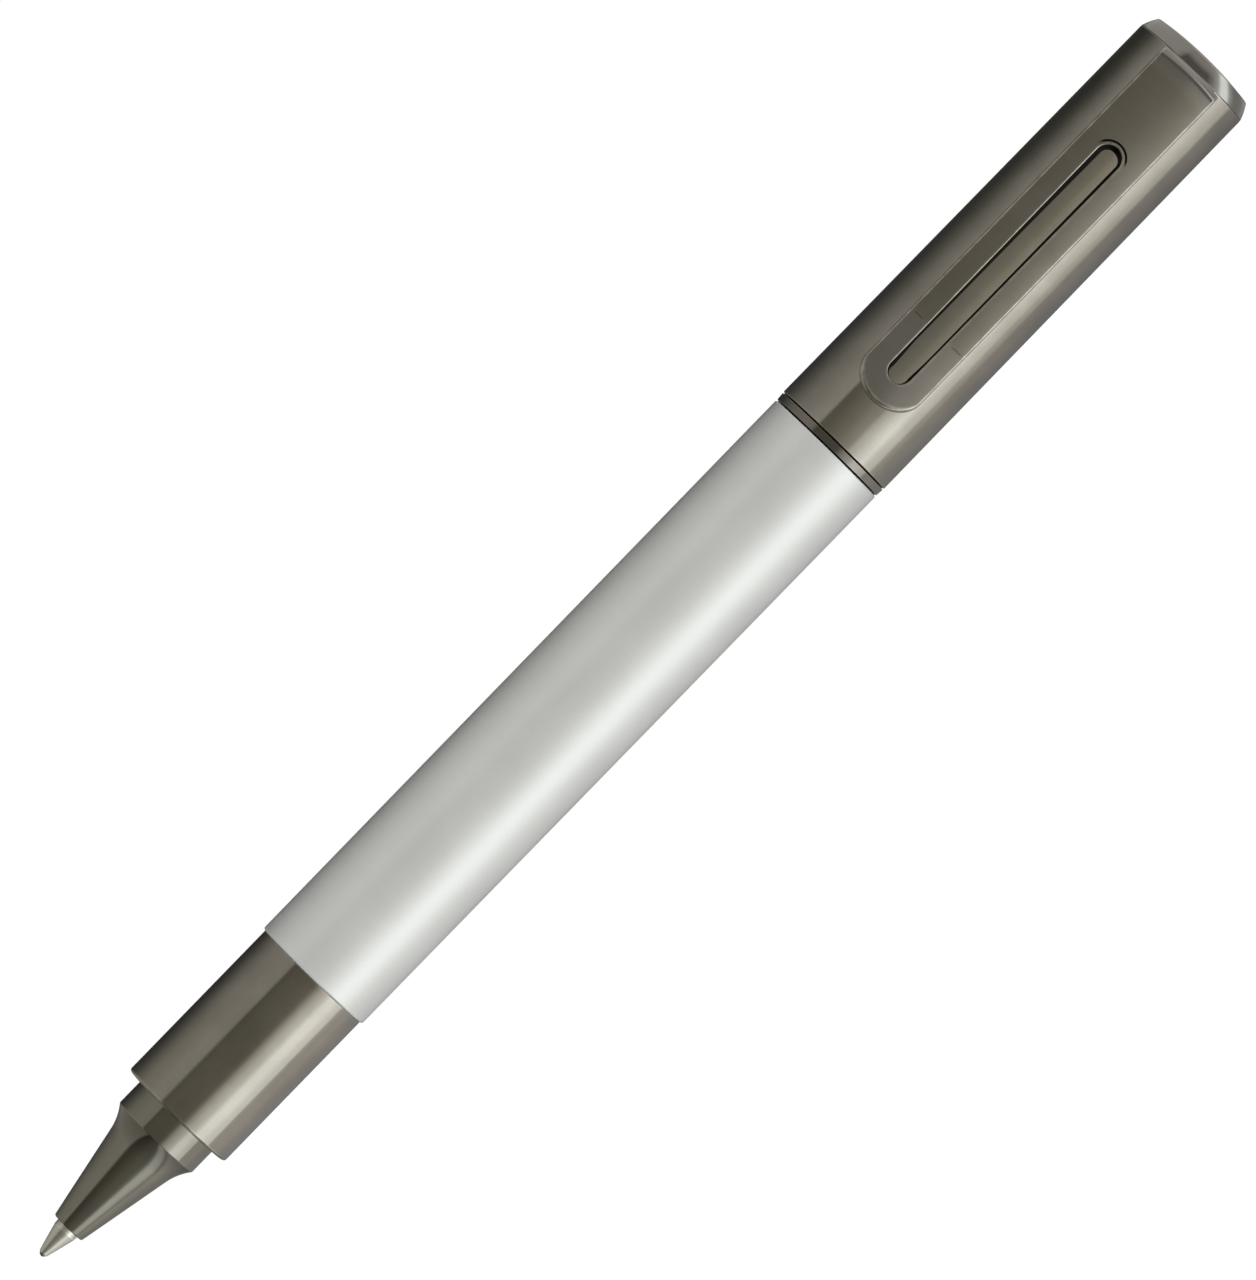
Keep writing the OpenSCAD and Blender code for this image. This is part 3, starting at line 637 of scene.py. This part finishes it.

# ---------------------------------------------------------------- trim ring, with painted shade on the step at each end
ring_bore_r, ring_front_r, ring_rear_r = 4.76, 5.81, 5.86
# the ring's end steps are painted near black: painted shade in the joints with the cap and the sleeve
STEP_SHADE_MARK = -1.8
finish(lathe("ring_piece", [
    (ring_start, ring_bore_r, 0.05, 3), (ring_start, ring_front_r, 0, 0, STEP_SHADE_MARK),
    (ring_start + 0.14, ring_front_r, 0, 0, STEP_SHADE_MARK), (ring_start + 0.15, 5.94, 0.03),
    (ring_end - 0.10, 6.00, 0.02), (ring_end - 0.09, ring_rear_r, 0, 0, STEP_SHADE_MARK),
    (ring_end, ring_rear_r, 0, 0, STEP_SHADE_MARK), (ring_end, ring_bore_r, 0.05, 3)]),
    plate_ring, "lower_barrel", "dark_plate", "trim_ring")

# ---------------------------------------------------------------- return spring, a smooth round wire
spring_lo, spring_hi = box_mm("return_spring")
wire_r = 0.18
coil_r = spring_hi[2] - wire_r
COIL_TURNS = 9
coil_segments, wire_segments = ((56, 16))
coil_steps = COIL_TURNS * coil_segments
spring_start, spring_end = spring_lo[0] + wire_r, spring_hi[0] - wire_r

coil = MeshParts()
previous = None
for i in range(coil_steps + 1):
    part = max(0.0, min(1.0, (i / coil_steps - 0.07) / 0.86))       # closed coils at both ends
    part += 0.03 * math.sin(2 * math.pi * part) / (2 * math.pi)
    x = spring_start + (spring_end - spring_start) * part
    angle = 2 * math.pi * i / coil_segments
    out_y, out_z = math.sin(angle), math.cos(angle)
    ring = []
    for k in range(wire_segments):
        around = 2 * math.pi * k / wire_segments
        c, s = math.cos(around), math.sin(around)
        reach = coil_r + wire_r * c
        ring.append(coil.add((x + wire_r * s, reach * out_y, reach * out_z),
                             (s, c * out_y, c * out_z)))
    if previous is None:
        previous = [coil.add((x, coil_r * out_y, coil_r * out_z), (0, -1, 0))]
    coil.bridge(previous, ring, flip=True)
    previous = ring
wire_end = coil.add((x, coil_r * out_y, coil_r * out_z), (0, 1, 0))
coil.bridge(previous, [wire_end], flip=True)
spring = coil.done("spring_piece")
finish(spring, spring_steel, None, "spring_steel", "return_spring")
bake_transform(spring)

# ---------------------------------------------------------------- upper barrel: a tube with the clip's notch
notch_start = clip_root_end - 0.85
notch_columns = round(SEGMENTS * 2 * 26.0 / 360)         # columns that cross the notch
tube_taper_start, tube_taper_length = 98.09, 44.0


def tube_taper(x):
    return tube_r - (tube_r - tail_r) * (x - tube_taper_start) / tube_taper_length


def column_angle(k, radius):
    """Columns 0 and notch_columns stand on the notch's side walls at every radius."""
    edge = math.asin(notch_half_width / radius)
    if k <= notch_columns:
        return -edge + 2 * edge * k / notch_columns
    return edge + (2 * math.pi - 2 * edge) * (k - notch_columns) / (SEGMENTS - notch_columns)


def in_notch(x):
    return x > notch_start - 1e-6


tube = MeshParts()
rows = []
for (x, radius), normal, edge in fillet([
        (tube_start, tube_bore_r, 0.05, 3), (tube_start, 5.98, 0.05),
        (tube_start + 0.05, tube_r, 0.05),
        *[(x, tube_taper(x)) for x in (105.0, 115.0, 125.0, 133.0, notch_start)],
        (tube_end - 0.04, tail_r, 0.04), (tube_end, 5.885, 0.03, 3),
        (tube_end, tube_bore_r, 0.05, 3), (notch_start, tube_bore_r)]):
    x, radius = float(x), float(radius)
    row = []
    for k in range(SEGMENTS):
        angle = column_angle(k, radius)
        c, s = math.cos(angle), math.sin(angle)
        row.append(tube.add((x, radius * s, radius * c), (normal[0], normal[1] * s, normal[1] * c),
                            edge))
    rows.append((x, row))
for i, (x, row) in enumerate(rows):
    next_x, next_row = rows[(i + 1) % len(rows)]
    for k in range(SEGMENTS):
        if k < notch_columns and in_notch(x) and in_notch(next_x):
            continue
        k2 = (k + 1) % SEGMENTS
        tube.faces.append((row[k], next_row[k], next_row[k2], row[k2]))
# the notch's side walls, then its front wall
notch_rows = [row for x, row in rows if in_notch(x)]
for k, facing in ((0, 1.0), (notch_columns, -1.0)):
    tube.face([tube.verts[row[k]] for row in notch_rows], (0, facing, 0), 0.6, flip=facing < 0)
outer_line, inner_line = [
    [tube.add(tube.verts[row[k]], (1, 0, 0), 0.4) for k in range(notch_columns + 1)]
    for row in (notch_rows[0], notch_rows[-1])]
for k in range(notch_columns):
    tube.faces.append((outer_line[k], inner_line[k], inner_line[k + 1], outer_line[k + 1]))
finish(tube.done("cap_piece"), plate, "upper_barrel", "dark_plate", "upper_barrel")

# ---------------------------------------------------------------- crown, with the key that closes the notch
crown_edge, crown_edge_r = crown_end - 0.40, 5.26
clip_rear = clip_root_end + 0.28             # outside of the clip's bend, just short of the crown
crown_front = clip_rear + 0.02
crown_plug_r = tube_bore_r - 0.05
crown_bore_r = 1.54
crown_seat = tube_end + 0.02
shoulder_x, shoulder_r = tube_end + 0.05, tail_r - 0.01

crown = MeshParts()
shoulder = []
for i in range(1, 13):
    part = i / 12
    shoulder.append((shoulder_x + (crown_edge - tube_end - 0.05) * part,
                     shoulder_r - (tail_r - crown_edge_r) * (0.62 * part + 0.38 * part * part)))
shoulder[-1] = (*shoulder[-1], 0.05)
dome = [(crown_edge + 0.40 * (1 - (1 - i / 16) ** 2), crown_edge_r * (1 - i / 16))
        for i in range(1, 17)]
crown.turn([
    (crown_front + 1.5, 0.0), (crown_front + 1.5, crown_bore_r, 0.04, 2),
    (crown_front, crown_bore_r, 0.05, 2), (crown_front, crown_plug_r, 0.08, 3),
    (crown_seat, crown_plug_r, 0.02, 2), (crown_seat, tail_r - 0.05, 0.02, 3),
    (shoulder_x, shoulder_r, 0.02, 3), *shoulder, *dome], closed=False)

key_half_width, key_r, key_floor = notch_half_width - 0.03, tail_r - 0.03, 4.6
key_angle = math.asin(key_half_width / key_r)
key_section = [(-key_half_width, key_floor), (key_half_width, key_floor)]     # (y, z)
key_section += [(key_r * math.sin(a), key_r * math.cos(a))
                for a in np.linspace(key_angle, -key_angle, 17)]
for x, facing in ((crown_front, -1.0), (crown_seat, 1.0)):
    crown.face([(x, y, z) for y, z in key_section], (facing, 0, 0), 0.3, flip=facing < 0)
for i, (y0, z0) in enumerate(key_section):
    y1, z1 = key_section[(i + 1) % len(key_section)]
    normal = unit(np.array([0, z1 - z0, -(y1 - y0)], float))
    if normal[2] * (z0 - 5) + normal[1] * y0 < 0:
        normal = -normal
    ids = [crown.add(point, normal) for point in (
        (crown_front, y0, z0), (crown_seat, y0, z0), (crown_seat, y1, z1), (crown_front, y1, z1))]
    crown.faces.append((ids[0], ids[3], ids[2], ids[1]))
finish(crown.done("crown_piece"), plate, "upper_barrel", "dark_plate", "crown")

# ---------------------------------------------------------------- pocket clip, one bent strip
half_width = clip_half_width
strip_thick, bend_r = 0.80, 1.15
tip_length = 2.60                            # of the rounded front end
crease_x, crease_z, crease_soft = 110.65, 7.13, 0.30     # lowest point of the strip's top face
lip_slope = math.tan(math.radians(6.0))      # in front of the crease
RISE = 2.4                                   # degrees, behind the crease
rise_slope = math.tan(math.radians(RISE))
face_sag = 0.20                              # the face is slightly domed across its width
SAG_SHADE = 1.9                              # how much more domed its shading is
slot_start, slot_end, slot_front_r, slot_rear_r = 104.95, 132.70, 1.13, 1.23
side_start, side_end = 106.2, 131.2          # the straight sides' stations
weld_x = 134.0                               # the slotted part ends and the solid rear begins
top_round, slot_round, bottom_round = 0.19, 0.11, 0.07
EDGE_STEPS, FACE_BANDS = 4, 4
SEAM, EDGE, CORNER = range(3)                # kinds of outer point
REAR_SHADE_LINE = -2.2                             # mark of a line of painted shade round the slot's rear end
SLOT_WALL_SHADE = -2.0                             # mark that paints the slot's wall near black as painted shade
front_steps, rear_steps = ((30, 24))

# How far the slot's wall leans in on each side: (part of the slot's length, +Y side, -Y side).
LEAN_AT = [0, 0.03, 0.14, 0.6, 0.95, 1]
LEAN_PLUS_Y = [0.30, 0.36, 0.20, 0.30, 0.42, 0.44]
LEAN_MINUS_AT = [0, 0.03, 0.12, 0.6, 0.95, 1]
LEAN_MINUS_Y = [0.22, 0.26, 0.15, 0.20, 0.25, 0.28]
REAR_LEAN = 0.46
# The bend's shading: distance from where the bend starts, and the tilt in degrees.
BEND_AT = [-1.2, -0.6, 0.0, 0.24, 0.45, 1.02, 1.12]
BEND_TILT = [-0.6, 2.5, 9.0, 18.0, 42.0, 60.0, 90.0]
BEND_DONE = 9.0                              # a distance past the whole bend


def top_z(x):
    """Height of the strip's top face on its centre line."""
    soft = crease_soft
    if x <= crease_x - soft:
        return crease_z + (crease_x - x) * lip_slope
    if x >= crease_x + soft:
        return crease_z + (x - crease_x) * rise_slope
    u = (x - crease_x + soft) / (2 * soft)
    return ((1 - u) ** 2 * (crease_z + soft * lip_slope) + 2 * u * (1 - u) * crease_z
            + u * u * (crease_z + soft * rise_slope))


def shading_slope(x):
    """The face's slope for shading; the long part is shaded flatter than it stands."""
    slope = (top_z(x + 0.02) - top_z(x - 0.02)) / 0.04
    return slope * 0.25 if slope > 0 else slope


def clamped(value):
    return max(0.0, min(1.0, value))


strip = MeshParts()


def strip_vertex(x, y, depth, up, out, edge):
    """Adds a vertex; up and out weigh its normal between the face's normal and the plan's."""
    slope_x, slope_y = shading_slope(x), SAG_SHADE * 2 * face_sag * y / half_width ** 2
    normal = np.array([-slope_x * up, slope_y * up, up])
    normal = normal / math.sqrt(1 + slope_x * slope_x + slope_y * slope_y)
    normal = unit(normal + np.array([out[0], out[1], 0.0]))
    z = top_z(x) - depth - face_sag * (y / half_width) ** 2
    return strip.add((x, y, z), normal, edge)


def round_top(radius):
    """(inset, depth, up weight, out weight) down a rounded top edge."""
    angles = [math.pi / 2 * k / EDGE_STEPS for k in range(EDGE_STEPS + 1)]
    return [(radius * (1 - math.sin(a)), radius * (1 - math.cos(a)), math.cos(a), math.sin(a))
            for a in angles]


def round_bottom():
    """The same down the rounded bottom edge."""
    return [(inset, strip_thick - depth, -up, out)
            for inset, depth, up, out in reversed(round_top(bottom_round))]


def clip_outlines():
    """Matching loops in plan: outer (x, y, normal x, normal y, kind) and inner, without a kind."""
    outer, inner = [], []
    for j in range(front_steps + 1):
        angle = math.pi - (math.pi / 2) * j / front_steps
        c, s = math.cos(angle), math.sin(angle)
        normal = unit(np.array([c / tip_length, s / half_width]))
        outer.append((clip_start + tip_length + tip_length * c, half_width * s, *normal, EDGE))
        inner.append((slot_start + slot_front_r + slot_front_r * c, slot_front_r * s, -c, -s))
    side_x = np.concatenate([
        np.linspace(side_start, crease_x - 1.2, 5), np.linspace(crease_x - 1.2, crease_x - 0.3, 5),
        [crease_x + offset for offset in (-0.14, -0.04, 0.04, 0.14)],
        np.linspace(crease_x + 0.3, crease_x + 1.2, 5), np.linspace(crease_x + 1.2, side_end, 22)])
    side_x = sorted({round(float(x), 4) for x in side_x})
    for x in side_x:
        part = ((x - slot_start - slot_front_r)
                / (slot_end - slot_rear_r - slot_start - slot_front_r))
        outer.append((x, half_width, 0, 1, EDGE))
        inner.append((x, slot_front_r + (slot_rear_r - slot_front_r) * part, 0, -1))
    half = rear_steps // 2
    for j in range(1, rear_steps + 1):
        angle = math.pi / 2 * (1 - j / rear_steps)
        c, s = math.cos(angle), math.sin(angle)
        inner.append((slot_end - slot_rear_r + slot_rear_r * c, slot_rear_r * s, -c, -s))
        if j < half:
            x = side_x[-1] + (weld_x - side_x[-1]) * j / half
            outer.append((x, half_width, 0, 1, EDGE))
        elif j == half:
            outer.append((weld_x, half_width, 0, 1, CORNER))
        else:
            y = half_width * (1 - (j - half) / (rear_steps - half))
            outer.append((weld_x, y, 0, 0, SEAM))
    return [half_loop + [(x, -y, nx, -ny, *kind) for x, y, nx, ny, *kind in half_loop[-2:0:-1]]
            for half_loop in (outer, inner)]


def outer_loop(inset, depth, up, out, edge):
    ids = []
    for x, y, nx, ny, kind in outer:
        if kind == SEAM:                     # keep to the strip's own width
            shrink = (half_width - inset) / half_width
            ids.append(strip_vertex(x, y * shrink, depth, 1.0 if up >= 0 else -1.0, (0, 0), 0.0))
        else:                                # the top rounding widens at the front end
            widen = 1 + 1.1 * clamped(-nx * 1.6) if depth < top_round + 0.01 else 1.0
            ids.append(strip_vertex(x - nx * inset * widen, y - ny * inset * widen, depth, up,
                                    (nx * out, ny * out), edge))
    return ids


def wall_lean(x, nx, y, ny):
    """How far the slot's wall leans in: most at the rear end, nothing at the very front."""
    part = (x - slot_start) / (slot_end - slot_start)
    plus = float(np.interp(part, LEAN_AT, LEAN_PLUS_Y))
    minus = float(np.interp(part, LEAN_MINUS_AT, LEAN_MINUS_Y))
    side = (1 + ny) / 2 if abs(nx) > 0.02 else (0.0 if y > 0 else 1.0)
    lean = plus + (minus - plus) * side
    if nx > 0.02:
        return lean * (1 - nx) ** 0.8
    return lean + (REAR_LEAN - lean) * (-nx) ** 2 if nx < -0.02 else lean


def slot_loops():
    """The slot's edge: a line of painted shade round its rear, a narrow bevel, then a leaning wall painted
    near black as shade.
    """
    profile = [                              # (inset, depth, up, out, edge, lean)
        (0.46, 0.0, 1, 0, 0.0, 0.0), (0.43, 0.0, 1, 0, REAR_SHADE_LINE, 0.0),
        (0.27, 0.0, 1, 0, REAR_SHADE_LINE, 0.0), (0.24, 0.0, 1, 0, 0.0, 0.0)]
    bevel = round_top(slot_round)
    profile += [(*step, 1.0, 0.0) for step in bevel[:-1]] + [(*bevel[-1], 0.0, 0.0)]
    profile += [(0.0, slot_round + 0.03, 0.6, 0.8, SLOT_WALL_SHADE, 0.0),
                (0.0, 0.40, 0.6, 0.8, SLOT_WALL_SHADE, 1.0), (0.0, 0.46, 0, 1, SLOT_WALL_SHADE, 1.0),
                (0.0, strip_thick - bottom_round - 0.05, 0, 1, SLOT_WALL_SHADE, 1.0)]
    profile += [(*step, -1.0, 1.0) for step in round_bottom()]
    profile.append((bottom_round + 0.06, strip_thick, -1, 0, 0, 1.0))
    loops = []
    for inset, depth, up, out, edge, lean in profile:
        ids = []
        for x, y, nx, ny in inner:
            shift = inset - lean * wall_lean(x, nx, y, ny)
            # the line of painted shade fades out away from the slot's rear end
            mark = edge * clamped((-nx - 0.25) / 0.35) if edge == REAR_SHADE_LINE else edge
            ids.append(strip_vertex(x - nx * shift, y - ny * shift, depth, up,
                                    (nx * out, ny * out), mark))
        loops.append(ids)
    return loops


def fill_face(start, end, depth, up):
    """Fills the top or bottom face in bands from the outer loop to the slot's loop."""
    previous = start
    for band in range(1, FACE_BANDS):
        part = band / FACE_BANDS
        ids = []
        for a, b in zip(start, end):
            (xa, ya, _), (xb, yb, _) = strip.verts[a], strip.verts[b]
            x, y = xa + (xb - xa) * part, ya + (yb - ya) * part
            # a thin line of painted shade along the crease
            mark = -0.7 if abs(x - crease_x) < 0.05 else 0.0
            ids.append(strip_vertex(x, y, depth, up, (0, 0), mark))
        strip.bridge(previous, ids, flip=up < 0)
        previous = ids
    strip.bridge(previous, end, flip=up < 0)


outer, inner = clip_outlines()
loop_length = len(outer)
outer_profile = [                            # (inset, depth, up, out, edge), top to bottom
    (top_round + 0.08, 0.0, 1, 0, 0), *[(*step, 1.0) for step in round_top(top_round)],
    (0.0, top_round + 0.06, 0, 1, 0), (0.0, strip_thick - bottom_round - 0.05, 0, 1, 0),
    *[(*step, 1.0) for step in round_bottom()], (bottom_round + 0.06, strip_thick, -1, 0, 0)]
out_loops = [outer_loop(*step) for step in outer_profile]
in_loops = slot_loops()
for above, below in zip(out_loops, out_loops[1:]):
    for k in range(loop_length):
        k2 = (k + 1) % loop_length
        if SEAM not in (outer[k][4], outer[k2][4]):
            strip.faces.append((above[k], above[k2], below[k2], below[k]))
for above, below in zip(in_loops, in_loops[1:]):
    strip.bridge(above, below)
fill_face(out_loops[0], in_loops[0], 0.0, 1.0)
fill_face(out_loops[-1], in_loops[-1], strip_thick, -1.0)

# The solid rear: the section at the weld, swept along the top line, round the bend, down the leg.
weld_points = sorted((k for k in range(loop_length) if outer[k][4] in (SEAM, CORNER)),
                     key=lambda k: outer[k][1])          # from -Y to +Y
section = [out_loops[0][k] for k in weld_points]
section += [loop[weld_points[-1]] for loop in out_loops[1:-1]]
section += [out_loops[-1][k] for k in reversed(weld_points)]
section += [loop[weld_points[0]] for loop in reversed(out_loops[1:-1])]
section_points = []                          # (y, depth, normal, edge)
for i in section:
    x, y, z = strip.verts[i]
    section_points.append((y, top_z(x) - z, strip.normals[i], strip.edges[i]))

rise_normal = (-math.sin(math.radians(RISE)), math.cos(math.radians(RISE)))      # (x, z)
bend_x = clip_rear - bend_r
bend_start = bend_x + bend_r * rise_normal[0]
bend_z = top_z(bend_start) - bend_r * rise_normal[1]
leg_z = 6.40                                 # the leg's lower end
stations = []                                # ((x, z), outward (x, z), distance along the bend)
for x in ([weld_x + (bend_start - 1.2 - weld_x) * k / 5 for k in range(1, 6)]
          + [bend_start - 0.9, bend_start - 0.6, bend_start - 0.3, bend_start]):
    part = (x - weld_x) / (bend_start - weld_x)
    outward = unit(np.array([rise_normal[0] * part, 1 - part + rise_normal[1] * part]))
    stations.append(((x, top_z(x)), outward, x - bend_start))
for k in range(1, 25):
    tilt = math.radians(RISE + (90 - RISE) * k / 24)
    outward = np.array([math.sin(tilt), math.cos(tilt)])
    stations.append(((bend_x + bend_r * outward[0], bend_z + bend_r * outward[1]), outward,
                     bend_r * (outward[0] + rise_normal[0]) if k < 24 else BEND_DONE))
for z in (bend_z - 0.15, leg_z + 0.16, leg_z + 0.06):
    stations.append(((clip_rear, z), np.array([1.0, 0.0]), BEND_DONE))
previous = section
for (x, z), outward, reach in stations:
    ids = []
    for y, depth, normal, edge in section_points:
        # a tight roll, a flat, then a tight roll; it begins later in the middle of the width
        delay = 0.17 * (1 - (y / half_width) ** 2) * min(1.0, max(0.0, (1.0 - reach) / 0.6))
        shade = math.radians(float(np.interp(reach - delay, BEND_AT, BEND_TILT)))
        shaded = np.array([math.sin(shade) * normal[2], normal[1], math.cos(shade) * normal[2]])
        position = (x - outward[0] * depth, y, z - outward[1] * depth)
        ids.append(strip.add(position, unit(shaded), edge))
    strip.bridge(previous, ids)
    previous = ids
# the leg's rounded lower end
leg_middle = clip_rear - strip_thick / 2
for inset, z, down in ((0.018, leg_z + 0.018, 0.7), (0.06, leg_z, 1.0)):
    ids = []
    for y, depth, normal, _ in section_points:
        x = leg_middle + ((clip_rear - depth - leg_middle)
                          * (strip_thick / 2 - inset) / (strip_thick / 2))
        facing = np.array([normal[2], normal[1], 0.0]) * (1 - down) + np.array([0, 0, -down])
        ids.append(strip.add((x, y * (half_width - inset) / half_width, z), unit(facing), 1.0))
    strip.bridge(previous, ids)
    previous = ids
strip.faces.append(tuple(reversed(previous)))


def add_block(x0, x1, y0, z0, z1, corner_r=0.06):
    """An upright block with rounded vertical edges, from -y0 to y0."""
    plan = []
    for x, y, start in ((x1 - corner_r, y0 - corner_r, 0), (x0 + corner_r, y0 - corner_r, 90),
                        (x0 + corner_r, -y0 + corner_r, 180), (x1 - corner_r, -y0 + corner_r, 270)):
        for k in range(5):
            angle = math.radians(start + 90 * k / 4)
            c, s = math.cos(angle), math.sin(angle)
            plan.append((x + corner_r * c, y + corner_r * s, c, s))
    upper, lower = [[strip.add((x, y, z), (nx, ny, 0), 0.5) for x, y, nx, ny in plan]
                    for z in (z1, z0)]
    strip.bridge(upper, lower)
    for z, facing in ((z1, 1.0), (z0, -1.0)):
        strip.face([(x, y, z) for x, y, _, _ in plan], (0, 0, facing), 0.3, flip=facing < 0)


# a narrower block carries the leg down to a disc inside the tube
add_block(clip_rear - strip_thick, clip_rear, notch_half_width - 0.05, 4.2, 6.6)
disc_front, disc_r, disc_hole_r = clip_root_end - strip_thick, tube_bore_r - 0.05, 1.60
strip.turn([(disc_front, disc_hole_r, 0.05, 3), (disc_front, disc_r, 0.06, 3),
            (clip_rear, disc_r, 0.06, 3), (clip_rear, disc_hole_r, 0.05, 3)])
clip = strip.done("clip_piece")
finish(clip, plate_clip, None, "dark_plate_clip", "clip_arm", "clip_root")
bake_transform(clip)
clip.visible_glossy = False                  # keeps its mirror image out of the tube in the slot

# ---------------------------------------------------------------- nub under the clip's front end
nub_x = clip_start + 1.25
nub_top = top_z(nub_x) - strip_thick
nub_z = tube_r + 0.03
nub = MeshParts()
nub.turn([                                   # (height, radius)
    (nub_z, 0.0), (nub_z + 0.02, 0.30), (nub_z + 0.06, 0.50), (nub_z + 0.15, 0.70),
    (nub_z + 0.30, 0.86), (nub_z + 0.60, 1.02), (nub_top + 0.02, 1.09),
    (nub_top + 0.30, 1.10, 0.02, 2), (nub_top + 0.30, 0.0)],
    closed=False, segments=96, upright_at=nub_x)
finish(nub.done("clip_nub"), plate_clip, "clip", "dark_plate_clip")

# ---------------------------------------------------------------- pieces that keep the frame's own meshes
for node, material, slot in (
        ("refill_adapter", steel, "refill_steel"), ("refill_tube", steel, "refill_steel"),
        ("refill_plug", black_plastic, "black_plastic"), ("ink_column", ink, "ink"),
        ("front_bush", brass, "brass"), ("rear_bush", brass, "brass"),
        ("guide_tube", black_plastic, "black_plastic"), ("friction_ring", rubber, "black_rubber"),
        ("plunger", acetal, "cream_acetal"), ("cross_pin", steel, "refill_steel"),
        ("cam_sleeve", brass, "brass"), ("thrust_washer", steel, "refill_steel"),
        ("retaining_ring", spring_steel, "spring_steel"),
        ("end_plug", black_plastic, "black_plastic"), ("crown_screw", steel, "refill_steel"),
        ("lock_washer", spring_steel, "spring_steel")):
    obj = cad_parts[node]
    obj.data.materials.clear()
    finish(obj, material, None, slot)

# ---------------------------------------------------------------- floor
# clear of the clip when the upper barrel has turned it underneath and it is sprung
floor_z = cad_lo[2] / MM - 10.0
floor_x, floor_half, FLOOR_STEPS = 72.0, 6000.0, 24
row_length = FLOOR_STEPS + 1
floor_line = [floor_half * (2 * i / FLOOR_STEPS - 1) for i in range(row_length)]
floor = make_mesh(
    "floor", [(floor_x + x, y, floor_z) for y in floor_line for x in floor_line],
    [(i, i + 1, i + 1 + row_length, i + row_length)
     for j in range(FLOOR_STEPS) for i in range(j * row_length, j * row_length + FLOOR_STEPS)])
paper = Material("floor_paper")
fibre = paper.remap(paper.noise(scale=0.6, detail=4.0), span=(0.3, 0.7), to=(1.000, 1.012))
floor.data.materials.append(
    paper.shader("ShaderNodeEmission", {"Color": (1.0, 1.0, 1.0), "Strength": fibre}))
floor.visible_glossy = False
floor.visible_diffuse = False
floor.visible_transmission = False
floor.visible_shadow = False

# ---------------------------------------------------------------- soft studio light, all round the pen
scene = bpy.context.scene
scene.world = bpy.data.worlds.new("studio")
sky = Nodes(scene.world)


def between(value, start, end, to=(0.0, 1.0)):
    return sky.remap(value, span=(start, end), to=to, kind="LINEAR")


coordinates = sky.node("ShaderNodeTexCoord")
dx, dy, dz = sky.split(sky.vector("NORMALIZE", coordinates.outputs["Generated"]))
# degrees from straight up, towards -Y
angle = sky.scaled(sky.math("ARCTAN2", sky.scaled(dy, by=-1.0), dz), by=180 / math.pi)
turn = sky.math("DIVIDE", sky.math("ADD", angle, 180.0), 360.0)
lean = sky.math("ADD", dx, LEAN_OFFSET)      # how far the light comes from, along the pen

studio = sky.ramp(turn, AT_GRIP)
for start, end, table in STUDIO_CHANGES:
    studio = sky.mix(between(lean, start, end), studio, sky.ramp(turn, table))
fade = sky.ramp(sky.scaled(sky.math("ADD", dx, 1.0), by=0.5), ALONG, low=-1, length=2)
studio = sky.mix(1.0, studio, fade, "MULTIPLY")

# tint: bluer towards the tail, bluest in a band on the -Y side, a touch greener at the nose
tint = sky.ramp(turn, TINT)
tint = sky.mix(between(lean, 0.12, 0.30, to=(0.0, 0.7)), tint, (0.985, 0.995, 1.03))
cold_band = sky.scaled(between(angle, 52.0, 70.0), by=between(angle, 118.0, 98.0))
cold = sky.scaled(between(lean, 0.40, 0.50), by=cold_band)
tint = sky.mix(cold, tint, (0.91, 1.00, 1.07))
tint = sky.mix(between(lean, -0.04, -0.34), tint, (0.995, 1.00, 0.98), "MULTIPLY")
studio = sky.mix(1.0, studio, tint, "MULTIPLY")

# diffuse light sees the dome, the camera sees white and reflections see the studio
path = sky.node("ShaderNodeLightPath")
lit = sky.mix(path.outputs["Is Diffuse Ray"], studio, sky.ramp(turn, DOME))
seen = sky.mix(path.outputs["Is Camera Ray"], lit, (1.0, 1.0, 1.0))
background = sky.node("ShaderNodeBackground")
sky.put(background.inputs["Color"], seen)
sky.put(background.inputs["Strength"], 1.0)
sky.put(sky.node("ShaderNodeOutputWorld").inputs[0], background.outputs[0])

scene.view_settings.view_transform = "Standard"
scene.view_settings.look = "None"
scene.view_settings.exposure = 0.0
scene.view_settings.gamma = 1.0

# ---------------------------------------------------------------- camera
camera_data = bpy.data.cameras.new("camera")
camera = bpy.data.objects.new("camera", camera_data)
scene.collection.objects.link(camera)
camera_data.sensor_fit = "AUTO"
camera_data.sensor_width = 36.0
camera_data.lens = CAMERA_LENS
camera_data.clip_start, camera_data.clip_end = 0.05, 20.0
roll = math.radians(CAMERA_ROLL)
right = Vector((math.cos(roll), -math.sin(roll), 0.0))
up = Vector((math.sin(roll), math.cos(roll), 0.0))
axes = Matrix((right, up, Vector((0.0, 0.0, 1.0)))).transposed()
camera.matrix_world = Matrix.Translation(Vector(CAMERA_EYE)) @ axes.to_4x4()
scene.camera = camera
